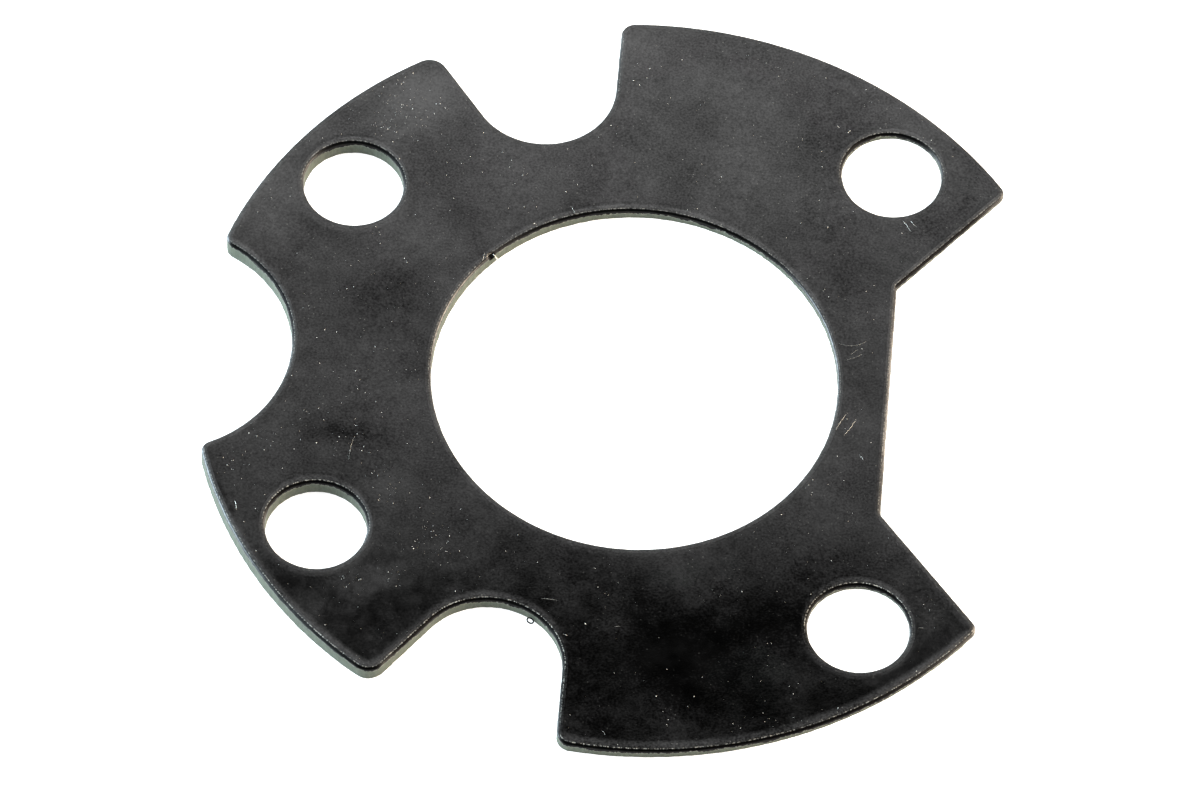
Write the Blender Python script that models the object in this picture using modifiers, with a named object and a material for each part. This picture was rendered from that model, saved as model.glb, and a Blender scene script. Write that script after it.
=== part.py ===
"""Tapered steel shim that goes between a wheel hub and its axle flange to change the wheel's alignment.

The plate is one stamping. It lies on its flat ground underside at z = 0, with +Z towards its sloped
upper face and +X towards the flat cut, where it is thinnest. The plan is the same above and below
the X axis. The origin is the middle of the plan's box, so the bore's centre lies a little to +X.
"""

import math

import bmesh
import bpy

MM = 0.001

# Bore, bolt holes and rim. Angles are turned from the middle of the flat cut, about the bore's centre.
BORE_RADIUS = 26.25 * MM
BOLT_CIRCLE_RADIUS = 47.15 * MM
BOLT_HOLE_RADIUS = 6.5 * MM
FRONT_HOLE_ANGLE = math.radians(48.55)
REAR_HOLE_ANGLE = math.radians(145.45)
RIM_BEYOND_BOLT_CIRCLE = 9.95 * MM

# The two long lobes beside the flat cut have a rim arc of their own, set towards the cut.
LONG_LOBE_ARC_SHIFT = 1.2 * MM
LONG_LOBE_ARC_INSET = 0.5 * MM

# Flat cut with flared ends, across the thin side of the plate.
LAND_FROM_BORE_TO_FLAT = 6.75 * MM
FLAT_LENGTH = 35.5 * MM
FLAT_END_ANGLE = math.radians(50.0)

# The two side notches: a round floor between walls that flare about the notch's own middle line.
SIDE_NOTCH_ANGLE = math.radians(108.7)
SIDE_NOTCH_RADIUS = 9.5 * MM
SIDE_NOTCH_DEPTH = 18.8 * MM
SIDE_NOTCH_FLARE = math.radians(18.6)

# The round notch in the rim at the thick side, opposite the flat cut.
REAR_NOTCH_RADIUS = 17.3 * MM
REAR_NOTCH_DEPTH = 12.6 * MM

# Corner radii of the plan.
FLAT_CORNER_RADIUS = 0.7 * MM
FLAT_TIP_RADIUS = 1.6 * MM
NOTCH_FRONT_TIP_RADIUS = 2.0 * MM
NOTCH_REAR_TIP_RADIUS = 2.5 * MM
REAR_TIP_RADIUS = 1.6 * MM

# Taper of the plate, and the soft edge that the punch draws round the upper rims.
THICKNESS_AT_BORE_CENTRE = 1.74 * MM
TAPER_ANGLE = math.radians(1.12)
ROLLED_EDGE_RADIUS = 0.3 * MM
ROLLED_EDGE_STEPS = 2

# Black oxide on steel.
PLATE_COLOUR = (0.035, 0.036, 0.035, 1.0)
PLATE_METALLIC = 0.8
PLATE_ROUGHNESS = 0.42

# Most that a straight facet may lie inside the arc that it stands for.
FACET_DEPTH = 0.02 * MM
WELD_DISTANCE = 0.001 * MM

RIM_RADIUS = BOLT_CIRCLE_RADIUS + RIM_BEYOND_BOLT_CIRCLE
FLAT_DISTANCE = BORE_RADIUS + LAND_FROM_BORE_TO_FLAT


def polar(radius, angle):
    return (radius * math.cos(angle), radius * math.sin(angle))


def plus(a, b, share=1.0):
    return (a[0] + b[0] * share, a[1] + b[1] * share)


def dot(a, b):
    return a[0] * b[0] + a[1] * b[1]


def quarter_turn(a):
    return (-a[1], a[0])


def arc_points(centre, radius, start, sweep):
    """Points along an arc, both ends included, as few as FACET_DEPTH allows."""
    step = 2 * math.acos(1 - min(FACET_DEPTH / radius, 0.5))
    count = max(2, math.ceil(abs(sweep) / step))
    return [plus(centre, polar(radius, start + sweep * i / count)) for i in range(count + 1)]


class Line:
    """An endless line that the outline runs along, with the plate on its left."""

    def __init__(self, point, heading_angle):
        self.point = point
        self.heading = polar(1.0, heading_angle)

    def moved_left(self, distance):
        moved = Line(plus(self.point, quarter_turn(self.heading), distance), 0.0)
        moved.heading = self.heading
        return moved

    def foot(self, point):
        """The point of the line nearest to another point."""
        along = dot(plus(point, self.point, -1.0), self.heading)
        return plus(self.point, self.heading, along)

    def heading_at(self, point):
        return self.heading

    def points(self, start, end):
        return [start, end]


class Arc:
    """A full circle that the outline runs along, with turn 1 to the left and -1 to the right."""

    def __init__(self, centre, radius, turn):
        self.centre = centre
        self.radius = radius
        self.turn = turn

    def moved_left(self, distance):
        return Arc(self.centre, self.radius - distance * self.turn, self.turn)

    def foot(self, point):
        out = plus(point, self.centre, -1.0)
        return plus(self.centre, out, self.radius / math.hypot(*out))

    def heading_at(self, point):
        out = plus(point, self.centre, -1.0)
        side = quarter_turn(out)
        scale = self.turn / math.hypot(*out)
        return (side[0] * scale, side[1] * scale)

    def points(self, start, end):
        first = math.atan2(start[1] - self.centre[1], start[0] - self.centre[0])
        last = math.atan2(end[1] - self.centre[1], end[0] - self.centre[0])
        sweep = (last - first) * self.turn % math.tau * self.turn
        return arc_points(self.centre, self.radius, first, sweep)


def crossings(a, b):
    """The points where two edges of the outline meet."""
    if isinstance(a, Line) and isinstance(b, Line):
        across = quarter_turn(b.heading)
        along = dot(plus(b.point, a.point, -1.0), across) / dot(a.heading, across)
        return [plus(a.point, a.heading, along)]
    if isinstance(a, Arc) and isinstance(b, Arc):
        gap = plus(b.centre, a.centre, -1.0)
        distance = math.hypot(*gap)
        direction = (gap[0] / distance, gap[1] / distance)
        along = (distance**2 + a.radius**2 - b.radius**2) / (2 * distance)
        middle = plus(a.centre, direction, along)
        half = math.sqrt(max(a.radius**2 - along**2, 0.0))
        side = quarter_turn(direction)
    else:
        line, arc = (a, b) if isinstance(a, Line) else (b, a)
        middle = line.foot(arc.centre)
        half = math.sqrt(max(arc.radius**2 - math.dist(middle, arc.centre) ** 2, 0.0))
        side = line.heading
    return [plus(middle, side, half), plus(middle, side, -half)]


def nearest_crossing(a, b, place):
    return min(crossings(a, b), key=lambda point: math.dist(point, place))


def rounded_corner(before, after, place, radius):
    """The points of a corner between two edges, rounded to a radius, or the bare corner for none."""
    corner = nearest_crossing(before, after, place)
    if radius == 0:
        return [corner]
    cross = dot(quarter_turn(before.heading_at(corner)), after.heading_at(corner))
    turn = 1 if cross > 0 else -1
    shift = radius * turn
    centre = nearest_crossing(before.moved_left(shift), after.moved_left(shift), corner)
    return Arc(centre, radius, turn).points(before.foot(centre), after.foot(centre))


def mirrored(points):
    """The same points below the X axis, in the order that keeps the plate on the left."""
    return [(x, -y) for x, y in reversed(points)]


def upper_half():
    """The plan's edges above the X axis, and the corner that each one ends in."""
    flat = Line((FLAT_DISTANCE, 0.0), math.pi / 2)
    flat_end = (FLAT_DISTANCE, FLAT_LENGTH / 2)
    flat_side = Line(flat_end, FLAT_END_ANGLE)
    long_lobe = Arc((LONG_LOBE_ARC_SHIFT, 0.0), RIM_RADIUS - LONG_LOBE_ARC_INSET, 1)

    notch_centre = polar(RIM_RADIUS - SIDE_NOTCH_DEPTH + SIDE_NOTCH_RADIUS, SIDE_NOTCH_ANGLE)
    notch_floor = Arc(notch_centre, SIDE_NOTCH_RADIUS, -1)
    front_out = SIDE_NOTCH_ANGLE - SIDE_NOTCH_FLARE
    rear_out = SIDE_NOTCH_ANGLE + SIDE_NOTCH_FLARE
    front_foot = plus(notch_centre, polar(SIDE_NOTCH_RADIUS, front_out - math.pi / 2))
    rear_foot = plus(notch_centre, polar(SIDE_NOTCH_RADIUS, rear_out + math.pi / 2))
    front_wall = Line(front_foot, front_out + math.pi)
    rear_wall = Line(rear_foot, rear_out)

    rear_lobe = Arc((0.0, 0.0), RIM_RADIUS, 1)
    rear_centre = (-(RIM_RADIUS - REAR_NOTCH_DEPTH + REAR_NOTCH_RADIUS), 0.0)
    rear_notch = Arc(rear_centre, REAR_NOTCH_RADIUS, -1)

    edges = [flat, flat_side, long_lobe, front_wall, notch_floor, rear_wall, rear_lobe, rear_notch]
    corners = [
        rounded_corner(flat, flat_side, flat_end, FLAT_CORNER_RADIUS),
        rounded_corner(flat_side, long_lobe, polar(RIM_RADIUS, FLAT_END_ANGLE), FLAT_TIP_RADIUS),
        rounded_corner(long_lobe, front_wall, polar(RIM_RADIUS, front_out), NOTCH_FRONT_TIP_RADIUS),
        [front_foot],
        [rear_foot],
        rounded_corner(rear_wall, rear_lobe, polar(RIM_RADIUS, rear_out), NOTCH_REAR_TIP_RADIUS),
        rounded_corner(rear_lobe, rear_notch, (-RIM_RADIUS, RIM_RADIUS), REAR_TIP_RADIUS),
    ]
    return edges, corners


def plan_outline():
    """The plate's outline about the bore's centre, turning left all the way round."""
    edges, corners = upper_half()
    upper = list(corners[0])
    for edge, before, after in zip(edges[1:-1], corners, corners[1:]):
        upper += edge.points(before[-1], after[0])[1:-1] + after
    lower = mirrored(upper)
    return upper + edges[-1].points(upper[-1], lower[0])[1:-1] + lower


def bolt_hole_centres():
    angles = (FRONT_HOLE_ANGLE, REAR_HOLE_ANGLE, -REAR_HOLE_ANGLE, -FRONT_HOLE_ANGLE)
    return [polar(BOLT_CIRCLE_RADIUS, angle) for angle in angles]


def round_hole(centre, radius):
    return arc_points(centre, radius, 0.0, math.tau)[:-1]


def thickness_at(x_from_bore):
    return THICKNESS_AT_BORE_CENTRE - x_from_bore * math.tan(TAPER_ANGLE)


def flat_blank(name, loops, thickness):
    """A slab with the loops as its outline and openings, from z = 0 up to its thickness."""
    curve = bpy.data.curves.new(name, "CURVE")
    curve.dimensions = "2D"
    curve.fill_mode = "BOTH"
    curve.extrude = thickness / 2
    for loop in loops:
        spline = curve.splines.new("POLY")
        spline.points.add(len(loop) - 1)
        for point, (x, y) in zip(spline.points, loop):
            point.co = (x, y, 0.0, 1.0)
        spline.use_cyclic_u = True
    outline = bpy.data.objects.new(name, curve)
    bpy.context.scene.collection.objects.link(outline)
    graph = bpy.context.evaluated_depsgraph_get()
    mesh = bpy.data.meshes.new_from_object(outline.evaluated_get(graph))
    bpy.data.objects.remove(outline)
    bpy.data.curves.remove(curve)
    mesh.name = name
    return mesh


def grind_to_taper(mesh, bore_x):
    """Welds the slab, slopes its upper face and marks the upper rims for the rolled edge."""
    solid = bmesh.new()
    solid.from_mesh(mesh)
    bmesh.ops.remove_doubles(solid, verts=solid.verts, dist=WELD_DISTANCE)
    upper = {vert for vert in solid.verts if vert.co.z > 0}
    for vert in solid.verts:
        vert.co.z = thickness_at(vert.co.x - bore_x) if vert in upper else 0.0
    bmesh.ops.recalc_face_normals(solid, faces=solid.faces)
    weight = solid.edges.layers.float.new("bevel_weight_edge")
    for edge in solid.edges:
        on_top = all(vert in upper for vert in edge.verts)
        is_rim = edge.calc_face_angle(0.0) > math.pi / 4
        edge[weight] = float(on_top and is_rim)
    solid.to_mesh(mesh)
    solid.free()


def steel_material():
    material = bpy.data.materials.new("black_oxide_steel")
    material.use_nodes = True
    shader = material.node_tree.nodes["Principled BSDF"]
    shader.inputs["Base Color"].default_value = PLATE_COLOUR
    shader.inputs["Metallic"].default_value = PLATE_METALLIC
    shader.inputs["Roughness"].default_value = PLATE_ROUGHNESS
    return material


def build_shim(collection):
    outline = plan_outline()
    across = [x for x, _ in outline]
    bore_x = -(min(across) + max(across)) / 2
    loops = [outline, round_hole((0.0, 0.0), BORE_RADIUS)]
    loops += [round_hole(centre, BOLT_HOLE_RADIUS) for centre in bolt_hole_centres()]
    placed = [[(x + bore_x, y) for x, y in loop] for loop in loops]

    mesh = flat_blank("alignment_shim", placed, THICKNESS_AT_BORE_CENTRE)
    grind_to_taper(mesh, bore_x)
    mesh.materials.append(steel_material())
    mesh.shade_smooth()
    mesh.set_sharp_from_angle(angle=math.radians(30))

    shim = bpy.data.objects.new("alignment_shim", mesh)
    collection.objects.link(shim)
    rolled = shim.modifiers.new("rolled_upper_rims", "BEVEL")
    rolled.limit_method = "WEIGHT"
    rolled.width = ROLLED_EDGE_RADIUS
    rolled.segments = ROLLED_EDGE_STEPS
    return shim


def main():
    for old in list(bpy.data.objects):
        bpy.data.objects.remove(old)
    collection = bpy.data.collections.new("wheel_alignment_shim")
    bpy.context.scene.collection.children.link(collection)
    build_shim(collection)


main()
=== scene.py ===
"""Looks of a wheel alignment shim: one tapered steel stamping, blackened, with sheared rims.

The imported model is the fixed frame. The plate is made again here with fine rims in place of its
plain solid. The dust, the scratches and the two burrs on it are pieces of their own.
"""

from __future__ import annotations

import logging
import math
from dataclasses import dataclass, field
from enum import Enum

import bpy
from mathutils import Matrix, Vector


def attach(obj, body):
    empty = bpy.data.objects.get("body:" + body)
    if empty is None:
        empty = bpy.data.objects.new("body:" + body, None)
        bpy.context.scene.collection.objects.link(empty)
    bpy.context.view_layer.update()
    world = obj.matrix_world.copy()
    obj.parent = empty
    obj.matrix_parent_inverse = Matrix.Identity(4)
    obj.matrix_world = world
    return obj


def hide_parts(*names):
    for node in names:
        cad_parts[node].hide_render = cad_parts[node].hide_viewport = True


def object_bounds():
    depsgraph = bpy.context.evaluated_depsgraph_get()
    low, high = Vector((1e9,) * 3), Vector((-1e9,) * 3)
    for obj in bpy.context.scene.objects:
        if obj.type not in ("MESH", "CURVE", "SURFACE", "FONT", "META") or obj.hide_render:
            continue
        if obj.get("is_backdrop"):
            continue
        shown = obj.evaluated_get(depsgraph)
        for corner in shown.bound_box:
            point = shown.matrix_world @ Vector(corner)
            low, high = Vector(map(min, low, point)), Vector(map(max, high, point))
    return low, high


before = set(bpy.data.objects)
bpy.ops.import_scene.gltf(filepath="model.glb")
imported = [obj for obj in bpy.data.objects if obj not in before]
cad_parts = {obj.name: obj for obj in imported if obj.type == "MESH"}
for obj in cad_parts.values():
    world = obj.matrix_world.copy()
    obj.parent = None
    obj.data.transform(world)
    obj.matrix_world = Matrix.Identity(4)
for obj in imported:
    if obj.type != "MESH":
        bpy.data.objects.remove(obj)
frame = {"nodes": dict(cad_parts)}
CAD_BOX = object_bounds()

LOG = logging.getLogger("alignment_shim")
MM = 0.001
BODY = "root"
PLATE_NODE = "alignment_shim"

# Map Range's setting for a step with soft ends.
SMOOTH = {"interpolation_type": "SMOOTHSTEP"}

Point = tuple[float, float]
Colour = tuple[float, float, float, float]
Tree = bpy.types.NodeTree
Socket = bpy.types.NodeSocket
Sockets = bpy.types.NodeOutputs
Inputs = dict[str | int, object] | tuple[object, ...]

# The type of a tree's input for each kind of value.
SOCKET_KINDS = {
    bpy.types.Object: "NodeSocketObject",
    bpy.types.Material: "NodeSocketMaterial",
    int: "NodeSocketInt",
    float: "NodeSocketFloat",
    tuple: "NodeSocketVector",
}


def linear(hex_colour: str) -> Colour:
    """Turns an sRGB hex colour into the linear colour that Blender's shaders take.

    Args:
        hex_colour: Six hex digits, such as "3b3c39".

    Returns:
        Linear red, green and blue, and an alpha of 1.
    """
    shares = [int(hex_colour[i : i + 2], 16) / 255 for i in (0, 2, 4)]
    low = [share / 12.92 for share in shares]
    high = [((share + 0.055) / 1.055) ** 2.4 for share in shares]
    red, green, blue = (a if s <= 0.04045 else b for s, a, b in zip(shares, low, high))
    return (red, green, blue, 1.0)


def set_inputs(tree: Tree, node: bpy.types.Node, inputs: Inputs) -> None:
    """Gives a node's inputs their values and their links.

    Args:
        tree: The tree that the node is in.
        node: The node.
        inputs: A value, a socket or a list of sockets for each input, by name or number or in order.
    """
    pairs = inputs.items() if isinstance(inputs, dict) else enumerate(inputs)
    for key, value in pairs:
        if isinstance(value, list):
            for source in value:
                tree.links.new(source, node.inputs[key])
        elif isinstance(value, Socket):
            tree.links.new(value, node.inputs[key])
        else:
            node.inputs[key].default_value = value


def add_node(
    tree: Tree, kind: str, inputs: Inputs = (), output: str | int = 0, **settings: object
) -> Socket:
    """Adds a node with its settings, its values and its links.

    Args:
        tree: The tree that the node goes into.
        kind: Blender's name for the node's type.
        inputs: A value, a socket or a list of sockets for each input, by name or number or in order.
        output: The name or number of the output that is wanted.
        settings: The node's own properties.

    Returns:
        The node's output socket.
    """
    node = tree.nodes.new(kind)
    for name, value in settings.items():
        setattr(node, name, value)
    set_inputs(tree, node, inputs)
    return node.outputs[output]


def pattern_inputs(place: Socket, size: float, detail: float = 2.0, roughness: float = 0.5) -> Inputs:
    """Gives a noise texture's inputs from the real size of its pattern.

    Args:
        place: The socket with the place, in metres.
        size: The distance from one spot of the pattern to the next, in metres.
        detail: How many finer octaves it has.
        roughness: How strong the finer octaves are.

    Returns:
        The inputs, by name.
    """
    return {"Vector": place, "Scale": 1 / size, "Detail": detail, "Roughness": roughness}


class Turn(Enum):
    """The way that an arc of the outline turns, seen from above."""

    LEFT = 1
    RIGHT = -1


def polar(radius: float, angle: float) -> Point:
    """Gives the point at a radius and an angle from the origin."""
    return (radius * math.cos(angle), radius * math.sin(angle))


def plus(a: Point, b: Point, share: float = 1.0) -> Point:
    """Adds a share of one point to another."""
    return (a[0] + b[0] * share, a[1] + b[1] * share)


def dot(a: Point, b: Point) -> float:
    """Gives the dot product of two directions."""
    return a[0] * b[0] + a[1] * b[1]


def quarter_turn(a: Point) -> Point:
    """Turns a direction a quarter turn to the left."""
    return (-a[1], a[0])


def arc_points(centre: Point, radius: float, start: float, sweep: float) -> list[Point]:
    """Lays points along an arc, so fine that no facet shows.

    Args:
        centre: The arc's centre.
        radius: The arc's radius.
        start: The angle of the first point.
        sweep: The angle that the arc turns through, negative for a turn to the right.

    Returns:
        The points, both ends included.
    """
    facet_depth = 0.001 * MM
    step = 2 * math.acos(1 - facet_depth / radius)
    count = max(2, math.ceil(abs(sweep) / step))
    return [plus(centre, polar(radius, start + sweep * i / count)) for i in range(count + 1)]


@dataclass(frozen=True)
class Line:
    """An endless line that the outline runs along, with the plate on its left.

    Attributes:
        point: A point of the line.
        heading: The direction of travel.
    """

    point: Point
    heading: Point

    def moved_left(self, distance: float) -> Line:
        """Gives the line at a distance to the left."""
        return Line(plus(self.point, quarter_turn(self.heading), distance), self.heading)

    def foot(self, point: Point) -> Point:
        """Gives the line's nearest point to another point."""
        along = dot(plus(point, self.point, -1.0), self.heading)
        return plus(self.point, self.heading, along)

    def heading_at(self, point: Point) -> Point:
        """Gives the direction of travel, the same at every point."""
        return self.heading

    def points(self, start: Point, end: Point) -> list[Point]:
        """Gives the two ends of a stretch."""
        return [start, end]


@dataclass(frozen=True)
class Arc:
    """A full circle that the outline runs along.

    Attributes:
        centre: The circle's centre.
        radius: The circle's radius.
        turn: The way that the outline turns on it.
    """

    centre: Point
    radius: float
    turn: Turn

    def moved_left(self, distance: float) -> Arc:
        """Gives the circle at a distance to the left of the outline."""
        return Arc(self.centre, self.radius - distance * self.turn.value, self.turn)

    def foot(self, point: Point) -> Point:
        """Gives the circle's nearest point to another point."""
        out = plus(point, self.centre, -1.0)
        return plus(self.centre, out, self.radius / math.hypot(*out))

    def heading_at(self, point: Point) -> Point:
        """Gives the direction of travel at a point of the circle.

        Args:
            point: The point.

        Returns:
            The direction.
        """
        out = plus(point, self.centre, -1.0)
        side = quarter_turn(out)
        scale = self.turn.value / math.hypot(*out)
        return (side[0] * scale, side[1] * scale)

    def points(self, start: Point, end: Point) -> list[Point]:
        """Lays points from one place of the circle to another, the way that the outline turns.

        Args:
            start: The first place.
            end: The last place.

        Returns:
            The points, both ends included.
        """
        first = math.atan2(start[1] - self.centre[1], start[0] - self.centre[0])
        last = math.atan2(end[1] - self.centre[1], end[0] - self.centre[0])
        sweep = (last - first) * self.turn.value % math.tau * self.turn.value
        return arc_points(self.centre, self.radius, first, sweep)


Edge = Line | Arc


def crossings(a: Edge, b: Edge) -> list[Point]:
    """Gives the points where two edges of the outline meet.

    Args:
        a: One edge.
        b: The other edge.

    Returns:
        One point for two lines, and otherwise two.
    """
    if isinstance(a, Line) and isinstance(b, Line):
        across = quarter_turn(b.heading)
        along = dot(plus(b.point, a.point, -1.0), across) / dot(a.heading, across)
        return [plus(a.point, a.heading, along)]
    if isinstance(a, Arc) and isinstance(b, Arc):
        gap = plus(b.centre, a.centre, -1.0)
        distance = math.hypot(*gap)
        direction = (gap[0] / distance, gap[1] / distance)
        along = (distance**2 + a.radius**2 - b.radius**2) / (2 * distance)
        middle = plus(a.centre, direction, along)
        half = math.sqrt(max(a.radius**2 - along**2, 0.0))
        side = quarter_turn(direction)
    else:
        line, arc = (a, b) if isinstance(a, Line) else (b, a)
        middle = line.foot(arc.centre)
        half = math.sqrt(max(arc.radius**2 - math.dist(middle, arc.centre) ** 2, 0.0))
        side = line.heading
    return [plus(middle, side, half), plus(middle, side, -half)]


def rounded_corner(before: Edge, after: Edge, place: Point, radius: float) -> list[Point]:
    """Rounds the corner between two edges.

    Args:
        before: The edge that leads into the corner.
        after: The edge that leads out of it.
        place: A point near the corner.
        radius: The corner's radius.

    Returns:
        The points of the corner's arc.
    """
    corner = min(crossings(before, after), key=lambda point: math.dist(point, place))
    cross = dot(quarter_turn(before.heading_at(corner)), after.heading_at(corner))
    turn = Turn.LEFT if cross > 0 else Turn.RIGHT
    shift = radius * turn.value
    middles = crossings(before.moved_left(shift), after.moved_left(shift))
    centre = min(middles, key=lambda point: math.dist(point, corner))
    return Arc(centre, radius, turn).points(before.foot(centre), after.foot(centre))


@dataclass(frozen=True)
class ShimPlan:
    """The plate's outline and openings, with the flat cut at +X, alike above and below the X axis.

    Angles are turned from the middle of the flat cut, about the bore's centre.
    """

    bore_radius: float = 26.25 * MM
    bolt_circle_radius: float = 47.15 * MM
    bolt_hole_radius: float = 6.5 * MM
    bolt_hole_angles: tuple[float, float] = (math.radians(48.55), math.radians(145.45))
    rim_beyond_bolt_circle: float = 9.95 * MM
    long_lobe_shift: float = 1.2 * MM
    long_lobe_inset: float = 0.5 * MM
    bore_to_flat: float = 6.75 * MM
    flat_length: float = 35.5 * MM
    flat_end_angle: float = math.radians(50.0)
    side_notch_angle: float = math.radians(108.7)
    side_notch_radius: float = 9.5 * MM
    side_notch_depth: float = 18.8 * MM
    side_notch_flare: float = math.radians(18.6)
    rear_notch_radius: float = 17.3 * MM
    rear_notch_depth: float = 12.6 * MM
    flat_corner: float = 0.7 * MM
    flat_tip: float = 1.6 * MM
    notch_front_tip: float = 2.0 * MM
    notch_rear_tip: float = 2.5 * MM
    rear_tip: float = 1.6 * MM

    @property
    def rim_radius(self) -> float:
        """Gives the radius of the plate's round rim."""
        return self.bolt_circle_radius + self.rim_beyond_bolt_circle

    def edges_and_corners(self) -> tuple[list[Edge], list[list[Point]]]:
        """Lays out the half of the outline above the X axis.

        Returns:
            The edges in order, and the points of the corner between each one and the next.
        """
        rim = self.rim_radius
        flat = Line((self.bore_radius + self.bore_to_flat, 0.0), polar(1.0, math.pi / 2))
        flat_end = (flat.point[0], self.flat_length / 2)
        flat_side = Line(flat_end, polar(1.0, self.flat_end_angle))
        long_lobe = Arc((self.long_lobe_shift, 0.0), rim - self.long_lobe_inset, Turn.LEFT)

        notch_reach = rim - self.side_notch_depth + self.side_notch_radius
        notch_centre = polar(notch_reach, self.side_notch_angle)
        notch_floor = Arc(notch_centre, self.side_notch_radius, Turn.RIGHT)
        front_out = self.side_notch_angle - self.side_notch_flare
        rear_out = self.side_notch_angle + self.side_notch_flare
        front_foot = plus(notch_centre, polar(self.side_notch_radius, front_out - math.pi / 2))
        rear_foot = plus(notch_centre, polar(self.side_notch_radius, rear_out + math.pi / 2))
        front_wall = Line(front_foot, polar(1.0, front_out + math.pi))
        rear_wall = Line(rear_foot, polar(1.0, rear_out))

        rear_lobe = Arc((0.0, 0.0), rim, Turn.LEFT)
        rear_centre = (-(rim - self.rear_notch_depth + self.rear_notch_radius), 0.0)
        rear_notch = Arc(rear_centre, self.rear_notch_radius, Turn.RIGHT)

        edges = [flat, flat_side, long_lobe, front_wall, notch_floor, rear_wall, rear_lobe, rear_notch]
        corners = [
            rounded_corner(flat, flat_side, flat_end, self.flat_corner),
            rounded_corner(flat_side, long_lobe, polar(rim, self.flat_end_angle), self.flat_tip),
            rounded_corner(long_lobe, front_wall, polar(rim, front_out), self.notch_front_tip),
            [front_foot],
            [rear_foot],
            rounded_corner(rear_wall, rear_lobe, polar(rim, rear_out), self.notch_rear_tip),
            rounded_corner(rear_lobe, rear_notch, (-rim, rim), self.rear_tip),
        ]
        return edges, corners

    def outline(self) -> list[Point]:
        """Joins the edges and corners, and mirrors them below the X axis.

        Returns:
            The outline about the bore's centre, turning left all the way round.
        """
        edges, corners = self.edges_and_corners()
        upper = list(corners[0])
        for edge, before, after in zip(edges[1:-1], corners, corners[1:]):
            upper += edge.points(before[-1], after[0])[1:-1] + after
        lower = [(x, -y) for x, y in reversed(upper)]
        return upper + edges[-1].points(upper[-1], lower[0])[1:-1] + lower

    def bore_x(self) -> float:
        """Gives the bore's place on X, from the middle of the outline's box."""
        across = [x for x, _ in self.outline()]
        return -(min(across) + max(across)) / 2

    def loops(self) -> list[list[Point]]:
        """Lays out every rim of the plate.

        Returns:
            The outline, the bore and the bolt holes, each with the plate on its left.
        """
        angles = [side * angle for angle in self.bolt_hole_angles for side in (1, -1)]
        centres = [polar(self.bolt_circle_radius, angle) for angle in angles]
        holes = [arc_points(centre, self.bolt_hole_radius, 0.0, -math.tau)[:-1] for centre in centres]
        bore = arc_points((0.0, 0.0), self.bore_radius, 0.0, -math.tau)[:-1]
        shift = (self.bore_x(), 0.0)
        return [[plus(point, shift) for point in loop] for loop in [self.outline(), bore, *holes]]


@dataclass(frozen=True)
class PlateTaper:
    """The sloped upper face, which falls evenly towards the flat cut.

    Attributes:
        bore_x: The place of the bore's centre on X.
        thickness: The plate's thickness there.
        slope: How much the thickness falls in a unit of X.
    """

    bore_x: float
    thickness: float = 1.74 * MM
    slope: float = math.tan(math.radians(1.12))

    def top(self, x: float) -> float:
        """Gives the height of the upper face above the underside."""
        return self.thickness - (x - self.bore_x) * self.slope


@dataclass(frozen=True)
class PhotoView:
    """The camera as it stood for the photograph.

    Attributes:
        aim: The point that the camera looks at.
        azimuth: The camera's turn to the left of straight behind -Y.
        elevation: The camera's height above the horizon.
        roll: How far the camera leans to its left.
        distance: How far the camera stands from its aim.
        lens: The lens on a picture as wide as the film, in millimetres.
        film: The film's width, in millimetres.
        frame: The photograph's width and height, in pixels.
    """

    aim: tuple[float, float, float] = (-0.01 * MM, -2.564 * MM, 0.0)
    azimuth: float = math.radians(2.734)
    elevation: float = math.radians(56.141)
    roll: float = math.radians(1.984)
    distance: float = 1278.35 * MM
    lens: float = 296.9
    film: float = 36.0
    frame: tuple[int, int] = (1200, 797)

    def axes(self) -> tuple[Vector, Vector, Vector]:
        """Gives the directions to the camera's right, above it and ahead of it."""
        azimuth, elevation = self.azimuth, self.elevation
        flat = Vector((-math.sin(azimuth), math.cos(azimuth), 0.0))
        forward = flat * math.cos(elevation) - Vector((0.0, 0.0, math.sin(elevation)))
        level = Vector((math.cos(azimuth), math.sin(azimuth), 0.0))
        upright = level.cross(forward)
        right = level * math.cos(self.roll) + upright * math.sin(self.roll)
        return right, right.cross(forward), forward

    def stand(self) -> Vector:
        """Gives the place of the camera."""
        return Vector(self.aim) - self.axes()[2] * self.distance

    def seen(self, pixel: Point, height: float, slope: float = 0.0) -> Point:
        """Finds the place that is seen at a pixel, on a level or a sloping plane.

        Args:
            pixel: A place in the photograph, from its upper left corner.
            height: The plane's height above the underside at the origin.
            slope: How much the plane falls in a unit of X.

        Returns:
            The place on X and Y.
        """
        right, up, forward = self.axes()
        start = self.stand()
        ahead = self.lens / self.film * self.frame[0]
        across, down = pixel[0] - self.frame[0] / 2, pixel[1] - self.frame[1] / 2
        ray = forward * ahead + right * across - up * down
        place = start + ray * ((height - start.x * slope - start.z) / (ray.z + ray.x * slope))
        return place.x, place.y

    def on_face(self, pixel: Point, taper: PlateTaper) -> tuple[float, float, float]:
        """Finds the place on the plate's upper face that is seen at a pixel.

        Args:
            pixel: A place in the photograph, from its upper left corner.
            taper: The upper face.

        Returns:
            The place.
        """
        x, y = self.seen(pixel, taper.top(0.0), taper.slope)
        return x, y, taper.top(x)


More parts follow.
